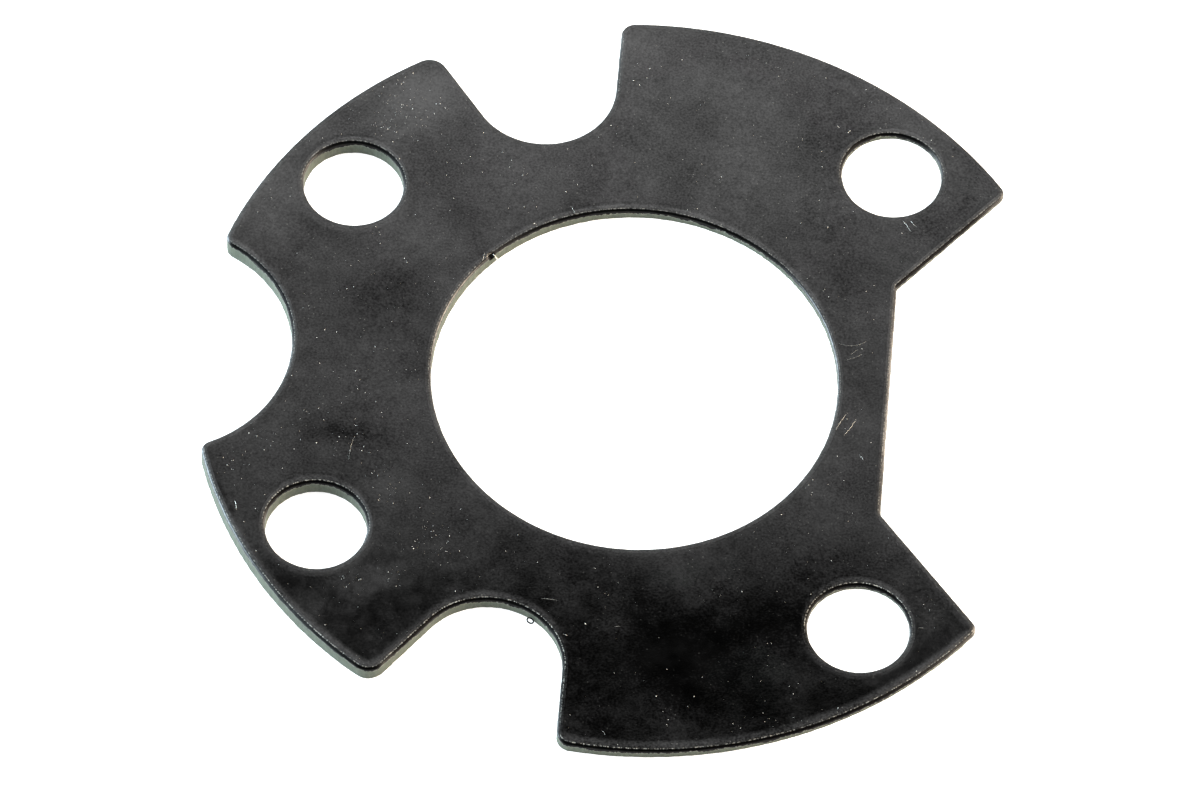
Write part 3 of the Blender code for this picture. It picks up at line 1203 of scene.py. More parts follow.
@dataclass
class ShimPlate:
    """The plate itself, with its sagged and torn rims, in place of the plain solid.

    Attributes:
        plan: The outline and the openings.
        taper: The sloped upper face.
        section: The rim's section.
        spacing: The distance between points along the rims.
        tear_depth: How far the torn part of the wall lies back at most.
        tear_size: From one tear to the next.
        tear_rows: The depths where the tears start and are whole, in millimetres.
        nick_place: The middle of the nick in the bore's rim.
        nick_radius: How far the nick reaches.
        nick_depth: How deep it is pressed at its middle.
        nick_rows: The depths where the nick has ended and is still whole, in millimetres.
        finish_from: The depth below which the cut edge's finish starts, in millimetres.
        weld: The distance within which points are joined.
        seed: The start of the random tears.
        depth_attribute: The attribute for the depth below the upper face, in millimetres.
        side_attribute: The attribute for the way that the wall faces.
        nick_attribute: The attribute for how much of the nick is there.
        edge_attribute: The attribute for the faces that have the cut edge's finish.
    """

    plan: ShimPlan
    taper: PlateTaper
    section: RimSection = field(default_factory=RimSection)
    spacing: float = 0.27 * MM
    tear_depth: float = 0.07 * MM
    tear_size: float = 0.9 * MM
    tear_rows: tuple[float, float] = (0.1, 0.6)
    nick_place: Point = (-15.66 * MM, 17.16 * MM)
    nick_radius: float = 0.54 * MM
    nick_depth: float = 0.55 * MM
    nick_rows: tuple[float, float] = (1.2, 0.2)
    finish_from: float = 0.04
    weld: float = 0.003 * MM
    seed: int = 7
    depth_attribute: str = "edge_depth"
    side_attribute: str = "outward"
    nick_attribute: str = "nicked"
    edge_attribute: str = "on_sheared_edge"

    def top(self, tree: Tree, given: Sockets) -> Socket:
        """Works out the upper face's height at each point.

        Args:
            tree: The plate's tree.
            given: The tree's inputs.

        Returns:
            The height.
        """
        position = add_node(tree, "GeometryNodeInputPosition")
        x = add_node(tree, "ShaderNodeSeparateXYZ", (position,), "X")
        past_bore = add_node(tree, "ShaderNodeMath", (x, given["Bore X"]), operation="SUBTRACT")
        fall = add_node(tree, "ShaderNodeMath", (past_bore, given["Slope"]), operation="MULTIPLY")
        return add_node(tree, "ShaderNodeMath", (given["Thickness At Bore"], fall), operation="SUBTRACT")

    def sweep(self, tree: Tree, given: Sockets) -> Socket:
        """Sweeps the rim's section round the outline, the bore and the holes.

        Args:
            tree: The plate's tree.
            given: The tree's inputs.

        Returns:
            The walls, with their wall parts a metre tall.
        """
        rims = add_node(tree, "GeometryNodeObjectInfo", {"Object": given["Rims"]}, "Geometry")
        inputs = {"Curve": rims, "Length": given["Spacing"]}
        rims = add_node(tree, "GeometryNodeResampleCurve", inputs, mode="LENGTH")
        rims = add_node(tree, "GeometryNodeSetCurveNormal", {"Curve": rims}, mode="Z_UP")
        outward = add_node(tree, "GeometryNodeInputNormal", output="Normal")
        inputs = {"Geometry": rims, "Name": self.side_attribute, "Value": outward}
        store = "GeometryNodeStoreNamedAttribute"
        rims = add_node(tree, store, inputs, data_type="FLOAT_VECTOR", domain="POINT")
        section = add_node(tree, "GeometryNodeObjectInfo", {"Object": given["Section"]}, "Geometry")
        return add_node(tree, "GeometryNodeCurveToMesh", {"Curve": rims, "Profile Curve": section})

    def settle(self, tree: Tree, given: Sockets, walls: Socket) -> Socket:
        """Sets the walls to the plate's own thickness.

        The section's height gives the depth on the rolled part and the share of the wall below it.

        Args:
            tree: The plate's tree.
            given: The tree's inputs.
            walls: The swept walls.

        Returns:
            The walls, with their depth stored.
        """
        position = add_node(tree, "GeometryNodeInputPosition")
        axes = add_node(tree, "ShaderNodeSeparateXYZ", (position,)).node.outputs
        top = self.top(tree, given)
        below = add_node(tree, "ShaderNodeMath", (axes["Z"], -1.0), operation="MULTIPLY")
        drop = add_node(tree, "ShaderNodeMath", (below, given["Roll Depth"]), operation="MINIMUM")
        share = add_node(tree, "ShaderNodeMath", (below, given["Roll Depth"]), operation="SUBTRACT")
        share = add_node(tree, "ShaderNodeMath", (share, 0.0), operation="MAXIMUM")
        left = add_node(tree, "ShaderNodeMath", (1.0, share), operation="SUBTRACT")
        height = add_node(tree, "ShaderNodeMath", (top, drop), operation="SUBTRACT")
        height = add_node(tree, "ShaderNodeMath", (height, left), operation="MULTIPLY")
        depth = add_node(tree, "ShaderNodeMath", (top, height), operation="SUBTRACT")
        depth = add_node(tree, "ShaderNodeMath", (depth, 1 / MM), operation="MULTIPLY")
        inputs = {"Geometry": walls, "Name": self.depth_attribute, "Value": depth}
        store = "GeometryNodeStoreNamedAttribute"
        walls = add_node(tree, store, inputs, data_type="FLOAT", domain="POINT")
        settled = add_node(tree, "ShaderNodeCombineXYZ", (axes["X"], axes["Y"], height))
        return add_node(tree, "GeometryNodeSetPosition", {"Geometry": walls, "Position": settled})

    def tears(self, tree: Tree, given: Sockets, depth: Socket) -> Socket:
        """Works out how far the torn wall lies back, in streaks that run down it.

        Args:
            tree: The plate's tree.
            given: The tree's inputs.
            depth: The stored depth.

        Returns:
            The shift outwards, which is never more than 0.
        """
        position = add_node(tree, "GeometryNodeInputPosition")
        inputs = (position, (1.0, 1.0, 0.35))
        streaked = add_node(tree, "ShaderNodeVectorMath", inputs, operation="MULTIPLY")
        inputs = pattern_inputs(streaked, self.tear_size) | {"W": given["Seed"]}
        tears = add_node(tree, "ShaderNodeTexNoise", inputs, noise_dimensions="4D")
        strong = add_node(tree, "ShaderNodeMapRange", (tears, 0.25, 0.75), **SMOOTH)
        low = add_node(tree, "ShaderNodeMapRange", (depth, *self.tear_rows), **SMOOTH)
        torn = add_node(tree, "ShaderNodeMath", (strong, low), operation="MULTIPLY")
        back = add_node(tree, "ShaderNodeMath", (torn, given["Tear Depth"]), operation="MULTIPLY")
        return add_node(tree, "ShaderNodeMath", (back, -1.0), operation="MULTIPLY")

    def nick(self, tree: Tree, given: Sockets, depth: Socket) -> Socket:
        """Works out how much of the bore's nick is at each point.

        Args:
            tree: The plate's tree.
            given: The tree's inputs.
            depth: The stored depth.

        Returns:
            The share, 1 in the nick's middle.
        """
        position = add_node(tree, "GeometryNodeInputPosition")
        inputs = (position, (1.0, 1.0, 0.0))
        flat_place = add_node(tree, "ShaderNodeVectorMath", inputs, operation="MULTIPLY")
        inputs = (flat_place, given["Nick Place"])
        away = add_node(tree, "ShaderNodeVectorMath", inputs, "Value", operation="DISTANCE")
        away = add_node(tree, "ShaderNodeMath", (away, given["Nick Radius"]), operation="DIVIDE")
        near = add_node(tree, "ShaderNodeMapRange", (away, 1.0, 0.2), **SMOOTH)
        high = add_node(tree, "ShaderNodeMapRange", (depth, *self.nick_rows), **SMOOTH)
        return add_node(tree, "ShaderNodeMath", (near, high), operation="MULTIPLY")

    def cap(self, tree: Tree, walls: Socket, border: Socket, top: Socket, lower: bool) -> Socket:
        """Fills a face of the plate between the walls.

        Args:
            tree: The plate's tree.
            walls: The walls.
            border: Picks the open edges that bound this face.
            top: The height of the upper face.
            lower: Whether this is the underside.

        Returns:
            The filled face.
        """
        loops = add_node(tree, "GeometryNodeMeshToCurve", {"Mesh": walls, "Selection": border})
        filled = add_node(tree, "GeometryNodeFillCurve", {"Curve": loops}, mode="TRIANGLES")
        depth = add_node(tree, "ShaderNodeMath", (top, 1 / MM), operation="MULTIPLY") if lower else 0.0
        inputs = {"Geometry": filled, "Name": self.depth_attribute, "Value": depth}
        store = "GeometryNodeStoreNamedAttribute"
        filled = add_node(tree, store, inputs, data_type="FLOAT", domain="POINT")
        if lower:
            filled = add_node(tree, "GeometryNodeFlipFaces", {"Mesh": filled})
        else:
            lift = add_node(tree, "ShaderNodeCombineXYZ", {"Z": top})
            filled = add_node(tree, "GeometryNodeSetPosition", {"Geometry": filled, "Offset": lift})
        return add_node(tree, "GeometryNodeSetShadeSmooth", {0: filled, "Shade Smooth": False})

    def tree(self, values: dict[str, object]) -> Tree:
        """Builds the tree that sweeps the rims, tears the walls and fills the faces.

        Args:
            values: A value for each input, by name.

        Returns:
            The tree.
        """
        tree, given = new_tree("shim_plate", values)
        store = "GeometryNodeStoreNamedAttribute"
        read = "GeometryNodeInputNamedAttribute"
        walls = self.settle(tree, given, self.sweep(tree, given))
        depth = add_node(tree, read, {"Name": self.depth_attribute}, data_type="FLOAT")
        nicked = self.nick(tree, given, depth)
        inputs = {"Geometry": walls, "Name": self.nick_attribute, "Value": nicked}
        walls = add_node(tree, store, inputs, data_type="FLOAT", domain="POINT")

        # The tears lie back along the wall's own direction, and the nick is pressed down and in.
        pressed = add_node(tree, "ShaderNodeMath", (nicked, given["Nick Depth"]), operation="MULTIPLY")
        inputs = (pressed, -0.7, self.tears(tree, given, depth))
        back = add_node(tree, "ShaderNodeMath", inputs, operation="MULTIPLY_ADD")
        side = add_node(tree, read, {"Name": self.side_attribute}, data_type="FLOAT_VECTOR")
        shift = add_node(tree, "ShaderNodeVectorMath", {0: side, "Scale": back}, operation="SCALE")
        down = add_node(tree, "ShaderNodeMath", (pressed, -1.0), operation="MULTIPLY")
        sink = add_node(tree, "ShaderNodeCombineXYZ", {"Z": down})
        shift = add_node(tree, "ShaderNodeVectorMath", (shift, sink), operation="ADD")
        walls = add_node(tree, "GeometryNodeSetPosition", {"Geometry": walls, "Offset": shift})
        walls = add_node(tree, "GeometryNodeSetShadeSmooth", {0: walls, "Shade Smooth": True})

        # Edges with a single face bound the two faces that are still open.
        sides = add_node(tree, "GeometryNodeInputMeshEdgeNeighbors")
        inputs = {2: sides, 3: 1}
        is_open = add_node(tree, "FunctionNodeCompare", inputs, data_type="INT", operation="EQUAL")
        high = add_node(tree, "FunctionNodeCompare", (depth, 0.001), operation="LESS_THAN")
        upper = add_node(tree, "FunctionNodeBooleanMath", (is_open, high), operation="AND")
        lower = add_node(tree, "FunctionNodeBooleanMath", (is_open, high), operation="NIMPLY")
        top = self.top(tree, given)
        face = self.cap(tree, walls, upper, top, lower=False)
        underside = self.cap(tree, walls, lower, top, lower=True)

        cut = add_node(tree, "FunctionNodeCompare", (depth, self.finish_from), operation="GREATER_THAN")
        inputs = {"Geometry": walls, "Name": self.edge_attribute, "Value": cut}
        walls = add_node(tree, store, inputs, data_type="BOOLEAN", domain="FACE")
        whole = add_node(tree, "GeometryNodeJoinGeometry", ([walls, face, underside],))
        inputs = {"Geometry": whole, "Distance": self.weld}
        whole = add_node(tree, "GeometryNodeMergeByDistance", inputs)
        cut_faces = add_node(tree, read, {"Name": self.edge_attribute}, data_type="BOOLEAN")
        close_tree(tree, whole, [(given["Face Finish"], True), (given["Edge Finish"], cut_faces)])
        return tree

    def build(self, face_finish: bpy.types.Material, edge_finish: bpy.types.Material) -> bpy.types.Object:
        """Builds the plate and puts it in place of the plain solid.

        Args:
            face_finish: The material of the two faces.
            edge_finish: The material of the walls.

        Returns:
            The plate.
        """
        rims = curve_object("rim_guides", self.plan.loops(), closed=True)
        section = curve_object("section_guide", [self.section.points()], closed=False)
        values = {
            "Rims": rims,
            "Section": section,
            "Spacing": self.spacing,
            "Roll Depth": self.section.roll_depth(),
            "Thickness At Bore": self.taper.thickness,
            "Bore X": self.taper.bore_x,
            "Slope": self.taper.slope,
            "Tear Depth": self.tear_depth,
            "Nick Place": (*self.nick_place, 0.0),
            "Nick Radius": self.nick_radius,
            "Nick Depth": self.nick_depth,
            "Seed": float(self.seed),
            "Face Finish": face_finish,
            "Edge Finish": edge_finish,
        }
        plate = grow("shim_plate", self.tree(values), values)
        put_away(rims, section)
        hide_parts(PLATE_NODE)
        return plate


@dataclass
class DustGrains:
    """Loose grains on the upper face, scattered at random, with the largest ones placed.

    Attributes:
        taper: The face that the grains lie on.
        view: The camera through which the largest ones are placed.
        density: How many grains lie on a square metre where they are thickest.
        clump_size: The distance between the scatter's own clumps.
        radii: The least and most radius of a scattered grain.
        placed_radii: The least and most radius of a placed grain.
        lump: A grain's length, width and height, in shares of its size.
        thinning: Where the scatter starts and ends to thin along X, and its strength at both.
        clump_gain: How much more likely a grain is in the middle of a marked clump.
        clump_height: The height of the marked clumps' middles.
        placed: Where the largest grains are seen in the photograph, in its pixels.
        clumps: The middle and the radius of each marked clump, in millimetres.
        seed: The start of the random scatter.
    """

    taper: PlateTaper
    view: PhotoView
    density: float = 3_600_000.0
    clump_size: float = 8 * MM
    radii: tuple[float, float] = (0.014 * MM, 0.075 * MM)
    placed_radii: tuple[float, float] = (0.05 * MM, 0.12 * MM)
    lump: tuple[float, float, float] = (1.25, 0.8, 0.6)
    thinning: tuple[float, float, float, float] = (-30 * MM, 20 * MM, 0.13, 0.07)
    clump_gain: float = 0.6
    clump_height: float = 2 * MM
    placed: tuple[Point, ...] = (
        (318.5, 408.5), (333.5, 371.5), (249, 433), (264, 450), (241.6, 478.5), (255.4, 508.6),
        (278.6, 564.6), (360.4, 579.2), (358.7, 580), (341.5, 579.2), (325, 624.8), (316.5, 442.9),
        (363.8, 446.7), (595.2, 568.2), (598, 587.1), (566.5, 635.5), (656.3, 696.3), (662.9, 711.5),
        (666.3, 724.8), (687.8, 706.3), (733, 723.8), (570, 715), (565.7, 635), (585.3, 623.9),
        (614.2, 673), (784.8, 602), (793.4, 694), (838, 708), (903, 584), (862, 349),
        (872.3, 352.6), (871.2, 442.7), (837.3, 456.1), (813, 479.8), (808.5, 485.1), (846.7, 419.1),
        (845.1, 428.4), (786, 238), (844.6, 228), (800.7, 223.3), (904.4, 222.7), (821.7, 151.3),
        (837.8, 126.3), (838.9, 127.3), (850, 131), (826, 78), (866, 89.8), (395, 96),
        (403.5, 82.3), (383.6, 86.9), (381.3, 127.5), (389, 128), (396.6, 132.2), (406.2, 116.9),
        (418, 140.6), (417.3, 90.1), (322.7, 138),
    )
    clumps: tuple[tuple[float, float, float], ...] = (
        (-29.0, 39.5, 8.0),
        (-45.9, -18.4, 3.0),
        (-42.8, -14.0, 3.5),
        (-31.0, -13.5, 4.0),
        (-26.2, -19.7, 4.0),
        (-19.5, -28.0, 5.5),
        (-29.0, -35.0, 3.0),
        (-23.0, -33.1, 3.0),
    )
    seed: int = 11

    def chance(self, tree: Tree, given: Sockets) -> Socket:
        """Works out how likely a grain is at each place of the face.

        Args:
            tree: The grains' tree.
            given: The tree's inputs.

        Returns:
            The likelihood.
        """
        position = add_node(tree, "GeometryNodeInputPosition")
        scale = add_node(tree, "ShaderNodeMath", (1.0, given["Clump Size"]), operation="DIVIDE")
        inputs = {"Vector": position, "Scale": scale, "Detail": 2.0}
        clumps = add_node(tree, "ShaderNodeTexNoise", inputs)
        clumps = add_node(tree, "ShaderNodeMapRange", (clumps, 0.4, 0.7, 0.08, 1.0), **SMOOTH)
        across = add_node(tree, "ShaderNodeSeparateXYZ", (position,), "X")
        thinned = add_node(tree, "ShaderNodeMapRange", (across, *self.thinning), **SMOOTH)
        chance = add_node(tree, "ShaderNodeMath", (clumps, thinned), operation="MULTIPLY")
        for x, y, radius in self.clumps:
            inputs = (position, (x * MM, y * MM, self.clump_height))
            away = add_node(tree, "ShaderNodeVectorMath", inputs, "Value", operation="DISTANCE")
            inputs = (away, radius * MM, 0.0, 0.0, self.clump_gain)
            near = add_node(tree, "ShaderNodeMapRange", inputs, **SMOOTH)
            chance = add_node(tree, "ShaderNodeMath", (chance, near), operation="ADD")
        return chance

    def scatter(self, tree: Tree, given: Sockets) -> Socket:
        """Scatters points over the upper face.

        Args:
            tree: The grains' tree.
            given: The tree's inputs.

        Returns:
            The points.
        """
        plate = add_node(tree, "GeometryNodeObjectInfo", {"Object": given["Plate"]}, "Geometry")
        normal = add_node(tree, "GeometryNodeInputNormal", output="Normal")
        upward = add_node(tree, "ShaderNodeSeparateXYZ", (normal,), "Z")
        on_face = add_node(tree, "FunctionNodeCompare", (upward, 0.99), operation="GREATER_THAN")
        inputs = {"Mesh": plate, "Selection": on_face, "Density": given["Density"], "Seed": given["Seed"]}
        points = add_node(tree, "GeometryNodeDistributePointsOnFaces", inputs, "Points")
        inputs = {"Probability": self.chance(tree, given), "Seed": given["Seed"]}
        kept = add_node(tree, "FunctionNodeRandomValue", inputs, 3, data_type="BOOLEAN")
        lost = add_node(tree, "FunctionNodeBooleanMath", (kept,), operation="NOT")
        return add_node(tree, "GeometryNodeDeleteGeometry", {0: points, "Selection": lost})

    def tree(self, values: dict[str, object]) -> Tree:
        """Builds the tree that lays a grain on every point, with many more small ones than large.

        Args:
            values: A value for each input, by name.

        Returns:
            The tree.
        """
        tree, given = new_tree("dust_grains", values)
        placed = add_node(tree, "GeometryNodeObjectInfo", {"Object": given["Placed"]}, "Geometry")
        grains = []
        for points, least, most in (
            (placed, given["Least Placed Radius"], given["Most Placed Radius"]),
            (self.scatter(tree, given), given["Least Radius"], given["Most Radius"]),
        ):
            ball = add_node(tree, "GeometryNodeMeshIcoSphere", {"Radius": 1.0, "Subdivisions": 1})
            inputs = {0: (0.0, 0.0, 0.0), 1: (0.6, 0.6, math.tau), "Seed": given["Seed"]}
            spin = add_node(tree, "FunctionNodeRandomValue", inputs, data_type="FLOAT_VECTOR")
            other_seed = add_node(tree, "ShaderNodeMath", (given["Seed"], 1.0), operation="ADD")
            inputs = {2: 0.0, 3: 1.0, "Seed": other_seed}
            share = add_node(tree, "FunctionNodeRandomValue", inputs, 1, data_type="FLOAT")
            share = add_node(tree, "ShaderNodeMath", (share, 3.0), operation="POWER")
            spread = add_node(tree, "ShaderNodeMath", (most, least), operation="SUBTRACT")
            size = add_node(tree, "ShaderNodeMath", (spread, share, least), operation="MULTIPLY_ADD")
            inputs = {0: self.lump, "Scale": size}
            lump = add_node(tree, "ShaderNodeVectorMath", inputs, operation="SCALE")
            inputs = {"Points": points, "Instance": ball, "Rotation": spin, "Scale": lump}
            grains.append(add_node(tree, "GeometryNodeInstanceOnPoints", inputs))
        whole = add_node(tree, "GeometryNodeJoinGeometry", (grains,))
        close_tree(tree, whole, [(given["Finish"], True)])
        return tree

    def build(self, plate: bpy.types.Object, finish: bpy.types.Material) -> bpy.types.Object:
        """Scatters the grains over the plate.

        Args:
            plate: The plate that they lie on.
            finish: The dust's material.

        Returns:
            The grains, as one piece.
        """
        mesh = bpy.data.meshes.new("placed_grains")
        spots = [self.view.on_face(pixel, self.taper) for pixel in self.placed]
        mesh.from_pydata(spots, [], [])
        placed = bpy.data.objects.new("placed_grains", mesh)
        bpy.context.scene.collection.objects.link(placed)
        values = {
            "Plate": plate,
            "Placed": placed,
            "Density": self.density,
            "Clump Size": self.clump_size,
            "Least Radius": self.radii[0],
            "Most Radius": self.radii[1],
            "Least Placed Radius": self.placed_radii[0],
            "Most Placed Radius": self.placed_radii[1],
            "Seed": self.seed,
            "Finish": finish,
        }
        grains = grow("dust_grains", self.tree(values), values)
        put_away(placed)
        return grains


@dataclass(frozen=True)
class Wire:
    """A thin raised line of metal.

    Attributes:
        route: The points along its middle.
        radii: Its radius at each of them.
    """

    route: list[tuple[float, float, float]]
    radii: list[float]


def wire_tree(name: str, values: dict[str, object]) -> Tree:
    """Builds a tree that sweeps a ring along each route, at the size that the route's points give.

    Args:
        name: The tree's name.
        values: A value for each input, by name.

    Returns:
        The tree.
    """
    tree, given = new_tree(name, values)
    routes = add_node(tree, "GeometryNodeObjectInfo", {"Object": given["Routes"]}, "Geometry")
    inputs = {"Resolution": given["Sides"], "Radius": 1.0}
    ring = add_node(tree, "GeometryNodeCurvePrimitiveCircle", inputs)
    radius = add_node(tree, "GeometryNodeInputRadius")
    inputs = {"Curve": routes, "Profile Curve": ring, "Scale": radius, "Fill Caps": True}
    wires = add_node(tree, "GeometryNodeCurveToMesh", inputs)
    wires = add_node(tree, "GeometryNodeSetShadeSmooth", {0: wires, "Shade Smooth": True})
    close_tree(tree, wires, [(given["Finish"], True)])
    return tree


def sweep_wires(
    name: str, wires: list[Wire], finish: bpy.types.Material, sides: int = 6
) -> bpy.types.Object:
    """Makes one piece of several wires.

    Args:
        name: The piece's name.
        wires: The wires.
        finish: Their material.
        sides: How many sides the wire's section has.

    Returns:
        The piece.
    """
    routes = curve_object(f"{name}_routes", [wire.route for wire in wires], closed=False)
    for spline, wire in zip(routes.data.splines, wires):
        for point, radius in zip(spline.points, wire.radii):
            point.radius = radius
    values = {"Routes": routes, "Sides": sides, "Finish": finish}
    piece = grow(name, wire_tree(name, values), values)
    put_away(routes)
    return piece


@dataclass(frozen=True)
class Scratch:
    """One scratch, as the bright burr that it throws up along its side.

    Attributes:
        start: Where it starts in the photograph, in its pixels.
        end: Where it ends in the photograph, in its pixels.
        bow: How far its middle stands off the straight, in millimetres.
        width: The burr's width, in millimetres.
    """

    start: Point
    end: Point
    bow: float = 0.0
    width: float = 0.07


@dataclass
class FaceScratches:
    """The scratches on the upper face.

    Attributes:
        taper: The face that they lie on.
        view: The camera through which they are placed.
        ridge_share: The ridge's radius, as a share of the scratch's width.
        end_share: How far a scratch's ends are into the arch of its width, as a share.
        scratches: The scratches that show best.
        steps: How many straight steps each one has.
    """

    taper: PlateTaper
    view: PhotoView
    ridge_share: float = 0.375
    end_share: float = 0.08
    scratches: tuple[Scratch, ...] = (
        Scratch((541.5, 598.5), (557.5, 600.5), 0.05, 0.1),
        Scratch((844.6, 360.4), (863, 353.9), -0.1, 0.06),
        Scratch((851, 354.5), (859.2, 349.6), 0.1, 0.05),
        Scratch((838, 343), (866.3, 341.4), -0.55, 0.05),
        Scratch((835.9, 430), (847.8, 412.6), 0.1, 0.05),
        Scratch((843.5, 435.4), (856.5, 419.1), -0.1, 0.05),
        Scratch((859.2, 455), (863.6, 460.4), 0.05, 0.05),
        Scratch((903, 221), (911, 232), 0.05, 0.07),
        Scratch((911, 221), (917, 227), -0.1, 0.06),
        Scratch((234.4, 500), (236.1, 509.5), 0.1, 0.1),
        Scratch((355.2, 435.5), (349.2, 459.6), -0.2, 0.025),
        Scratch((918.4, 627.6), (924, 628), 0.0, 0.07),
        Scratch((614.5, 626.5), (620.5, 626.5), 0.0, 0.07),
        Scratch((601.2, 730), (605.2, 735), 0.05, 0.04),
        Scratch((484.5, 252.5), (482.5, 260.5), 0.05, 0.05),
        Scratch((571.7, 206.6), (574.6, 212.5), 0.0, 0.06),
    )
    steps: int = 8

    def ridge(self, scratch: Scratch) -> Wire:
        """Lays a scratch on the face as a thin ridge, finer at both ends.

        Args:
            scratch: The scratch.

        Returns:
            The ridge.
        """
        start = self.view.on_face(scratch.start, self.taper)[:2]
        end = self.view.on_face(scratch.end, self.taper)[:2]
        along = (end[0] - start[0], end[1] - start[1])
        length = math.hypot(*along)
        side = quarter_turn((along[0] / length, along[1] / length))
        route = []
        radii = []
        for step in range(self.steps + 1):
            share = step / self.steps
            off = scratch.bow * MM * 4 * share * (1 - share)
            x, y = plus(plus(start, along, share), side, off)
            route.append((x, y, self.taper.top(x)))
            arch = math.sin(math.pi * (self.end_share + (1 - 2 * self.end_share) * share))
            radii.append(self.ridge_share * scratch.width * MM * arch)
        return Wire(route, radii)

    def build(self, finish: bpy.types.Material) -> bpy.types.Object:
        """Builds all the scratches as one piece.

        Args:
            finish: The material of the bare steel in them.

        Returns:
            The scratches.
        """
        return sweep_wires("face_scratches", [self.ridge(scratch) for scratch in self.scratches], finish)


@dataclass
class NickSliver:
    """The sliver of bare steel that stands in the nick on the bore's rim.

    Attributes:
        view: The camera through which it is placed.
        route: Where the points along it are seen, in pixels, and their heights, in millimetres.
        radii: Its radius at each of them, in millimetres.
    """

    view: PhotoView
    route: tuple[tuple[float, float, float], ...] = (
        (493.3, 254.2, 1.98),
        (494.8, 256.2, 1.95),
        (496.2, 258.2, 1.6),
        (497.5, 260.0, 1.15),
        (498.6, 261.4, 0.75),
        (499.5, 262.6, 0.4),
    )
    radii: tuple[float, ...] = (0.06, 0.1, 0.12, 0.12, 0.11, 0.06)

    def build(self, finish: bpy.types.Material) -> bpy.types.Object:
        """Builds the sliver.

        Args:
            finish: The material of bare steel.

        Returns:
            The sliver.
        """
        route = [(*self.view.seen((a, b), height * MM), height * MM) for a, b, height in self.route]
        return sweep_wires("nick_sliver", [Wire(route, [radius * MM for radius in self.radii])], finish)


@dataclass
class NotchCurl:
    """The curl of black oxidised wire edge that hangs from the side notch's lower edge.

    Attributes:
        centre: The middle of the curl, in millimetres.
        half_length: Half its length, in millimetres.
        half_width: Half its width, in millimetres.
        turn: How far its length is turned from X, in degrees.
        height: The height of its middle above the underside, in millimetres.
        lift: How far its ends rise and fall from that, in millimetres.
        wire: The wire's radius, in millimetres.
        steps: How many straight steps go round it.
    """

    centre: Point = (-6.24, -37.6)
    half_length: float = 0.46
    half_width: float = 0.29
    turn: float = -35.0
    height: float = 0.5
    lift: float = 0.1
    wire: float = 0.105
    steps: int = 24

    def build(self, finish: bpy.types.Material) -> bpy.types.Object:
        """Builds the curl.

        Args:
            finish: The material of the plate's faces.

        Returns:
            The curl.
        """
        turned = Matrix.Rotation(math.radians(self.turn), 2)
        half_length, half_width = self.half_length, self.half_width
        route = []
        for step in range(self.steps + 1):
            angle = math.tau * step / self.steps
            flat = turned @ Vector((half_length * math.cos(angle), half_width * math.sin(angle)))
            x, y = plus(self.centre, (flat.x, flat.y))
            route.append((x * MM, y * MM, (self.height + self.lift * math.sin(angle)) * MM))
        radii = [self.wire * MM] * len(route)
        return sweep_wires("notch_curl", [Wire(route, radii)], finish, sides=8)


@dataclass(frozen=True)
class Softbox:
    """A rectangular studio light.

    Attributes:
        name: The light's name.
        place: The middle of its face, in metres.
        target: The point that it faces.
        size: Its width and height.
        radiance: How bright its face is, with the floor at about 1.
        colour: Its sRGB hex colour.
    """

    name: str
    place: tuple[float, float, float]
    target: tuple[float, float, float]
    size: tuple[float, float]
    radiance: float
    colour: str = "ffffff"

    def build(self) -> bpy.types.Object:
        """Hangs the light, unseen by the camera.

        Returns:
            The light.
        """
        light = bpy.data.lights.new(self.name, "AREA")
        light.shape = "RECTANGLE"
        light.size, light.size_y = self.size
        light.energy = self.radiance * math.pi * self.size[0] * self.size[1]
        light.color = linear(self.colour)[:3]
        made = bpy.data.objects.new(self.name, light)
        bpy.context.scene.collection.objects.link(made)
        made.location = self.place
        aim = Vector(self.target) - Vector(self.place)
        made.rotation_euler = aim.to_track_quat("-Z", "Y").to_euler()
        made.visible_camera = False
        return made


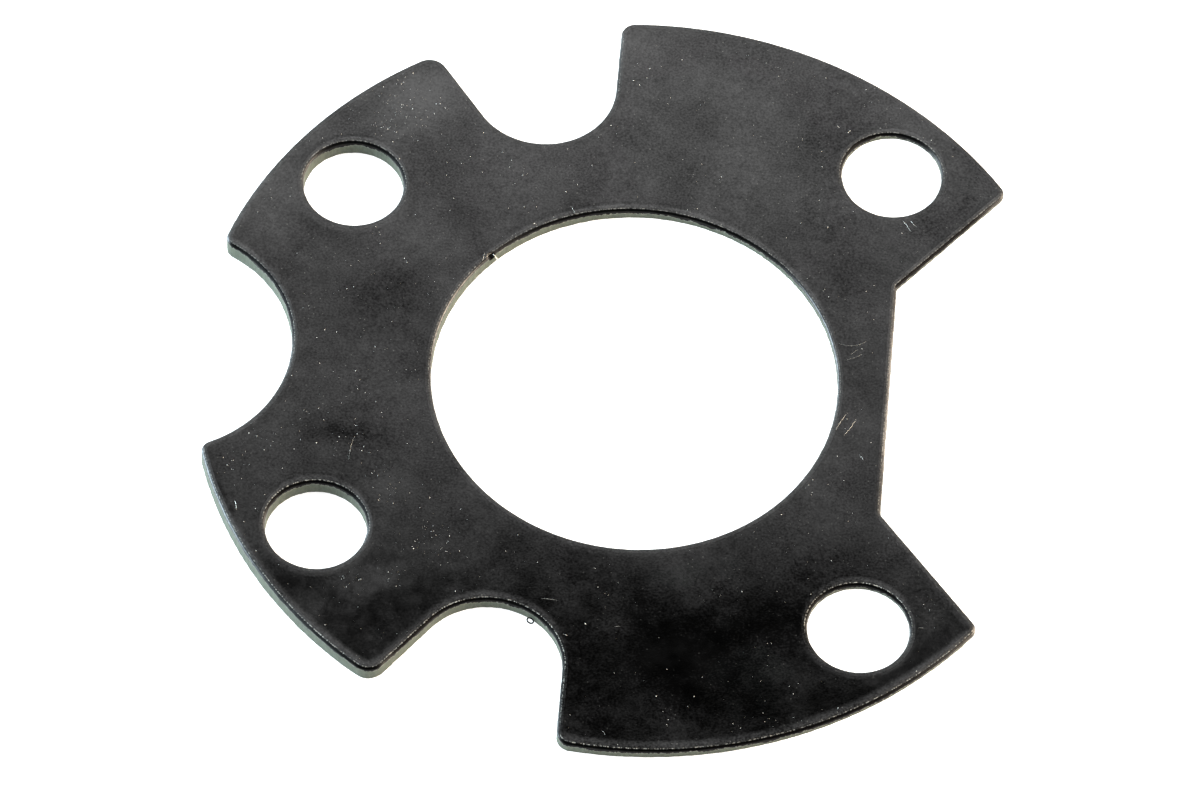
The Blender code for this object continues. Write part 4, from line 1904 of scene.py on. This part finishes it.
@dataclass
class Studio:
    """The pale table, the soft lights round it and the camera.

    Attributes:
        view: How the camera stood for the photograph.
        floor_half: Half the table's side.
        floor_drop: How far the table lies under the plate.
        floor_glow: The table's own light, which keeps it an even pale white.
        softboxes: The lights.
        clip: The nearest and the furthest that the camera sees.
    """

    view: PhotoView
    floor_half: float = 3.0
    floor_drop: float = 0.02 * MM
    floor_glow: float = 0.85
    softboxes: tuple[Softbox, ...] = (
        Softbox("far_softbox", (0.0, 0.3275, 0.13), (0.0, 0.3275, 0.0), (1.2, 0.545), 0.68),
        Softbox("far_softbox_heart", (0.0, 0.3625, 0.14), (0.0, 0.3625, 0.0), (1.2, 0.485), 0.44),
        Softbox("overhead_softbox", (0.0, 0.215, 1.2), (0.0, 0.215, 0.0), (1.6, 0.77), 1.2),
        Softbox("left_softbox", (-0.6, 0.1, 0.22), (0.0, 0.0, 0.0), (0.6, 0.4), 21.0, "cfe4f0"),
        Softbox("right_softbox", (0.6, 0.1, 0.22), (0.0, 0.0, 0.0), (0.6, 0.4), 16.0, "ffe8cd"),
    )
    clip: tuple[float, float] = (0.05, 20.0)

    def build_floor(self) -> bpy.types.Object:
        """Lays the table just under the plate.

        It is matt white melamine: pale and even, lit from above and by its own faint glow.

        Returns:
            The table.
        """
        material, tree, shader = new_material("matt_white_melamine")
        place = add_node(tree, "ShaderNodeTexCoord", output="Object")
        mottle = add_node(tree, "ShaderNodeTexNoise", pattern_inputs(place, 60 * MM))
        inputs = {0: mottle, 6: linear("f2f2f0"), 7: linear("f6f6f5")}
        inputs = {
            "Base Color": add_node(tree, "ShaderNodeMix", inputs, 2, data_type="RGBA"),
            "Roughness": 0.8,
            "Specular IOR Level": 0.1,
            "Emission Color": linear("ffffff"),
            "Emission Strength": self.floor_glow,
        }
        set_inputs(tree, shader, inputs)
        half, height = self.floor_half, -self.floor_drop
        corners = [(x * half, y * half, height) for x, y in ((-1, -1), (1, -1), (1, 1), (-1, 1))]
        mesh = bpy.data.meshes.new("pale_table")
        mesh.from_pydata(corners, [], [(0, 1, 2, 3)])
        mesh.materials.append(material)
        floor = bpy.data.objects.new("pale_table", mesh)
        bpy.context.scene.collection.objects.link(floor)
        floor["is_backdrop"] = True
        return floor

    def build_surround(self) -> None:
        """Gives the room a pale horizon that darkens overhead."""
        world = bpy.data.worlds.new("studio_room")
        world.use_nodes = True
        tree = world.node_tree
        direction = add_node(tree, "ShaderNodeTexCoord", output="Generated")
        up = add_node(tree, "ShaderNodeSeparateXYZ", (direction,), "Z")
        low = add_node(tree, "ShaderNodeMapRange", (up, 0.03, 0.35, 1.0, 0.0), **SMOOTH)
        inputs = {0: low, 6: linear("1a1a1a"), 7: linear("d6d6d4")}
        colour = add_node(tree, "ShaderNodeMix", inputs, 2, data_type="RGBA")
        set_inputs(tree, tree.nodes["Background"], {"Color": colour})
        bpy.context.scene.world = world

    def build_camera(self) -> bpy.types.Object:
        """Stands the camera where the picture was taken from.

        Returns:
            The camera.
        """
        right, up, forward = self.view.axes()
        camera = bpy.data.cameras.new("camera")
        camera.lens, camera.sensor_width = self.view.lens, self.view.film
        made = bpy.data.objects.new("camera", camera)
        bpy.context.scene.collection.objects.link(made)
        turned = Matrix((right, up, -forward)).transposed().to_4x4()
        made.matrix_world = Matrix.Translation(self.view.stand()) @ turned
        camera.clip_start, camera.clip_end = self.clip
        bpy.context.scene.camera = made
        return made

    def build(self) -> None:
        """Sets up the whole studio."""
        bpy.context.scene.view_settings.view_transform = "Standard"
        self.build_camera()
        self.build_floor()
        self.build_surround()
        for softbox in self.softboxes:
            softbox.build()


def main() -> None:
    """Builds the studio and every piece, reports the pieces and works out the two boxes."""
    logging.basicConfig(level=logging.INFO, format="%(name)s: %(message)s")
    view = PhotoView()
    Studio(view).build()
    plan = ShimPlan()
    taper = PlateTaper(plan.bore_x())
    plate_maker = ShimPlate(plan, taper)
    oxide = BlackOxide()
    edge = ShearedEdge(
        oxide,
        taper.bore_x,
        plate_maker.depth_attribute,
        plate_maker.side_attribute,
        plate_maker.nick_attribute,
    )
    face_finish = oxide.material()
    burr_finish = BARE_STEEL_BURR.material()
    plate = plate_maker.build(face_finish, edge.material())
    pieces = [
        plate,
        DustGrains(taper, view).build(plate, PALE_WORKSHOP_DUST.material()),
        FaceScratches(taper, view).build(burr_finish),
        NickSliver(view).build(burr_finish),
        NotchCurl().build(face_finish),
    ]
    for piece in pieces:
        report(piece)
    boxes = {"cad": CAD_BOX, "visual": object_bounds()}
    boxes = {name: [list(corner) for corner in box] for name, box in boxes.items()}


if __name__ == "__main__":
    main()
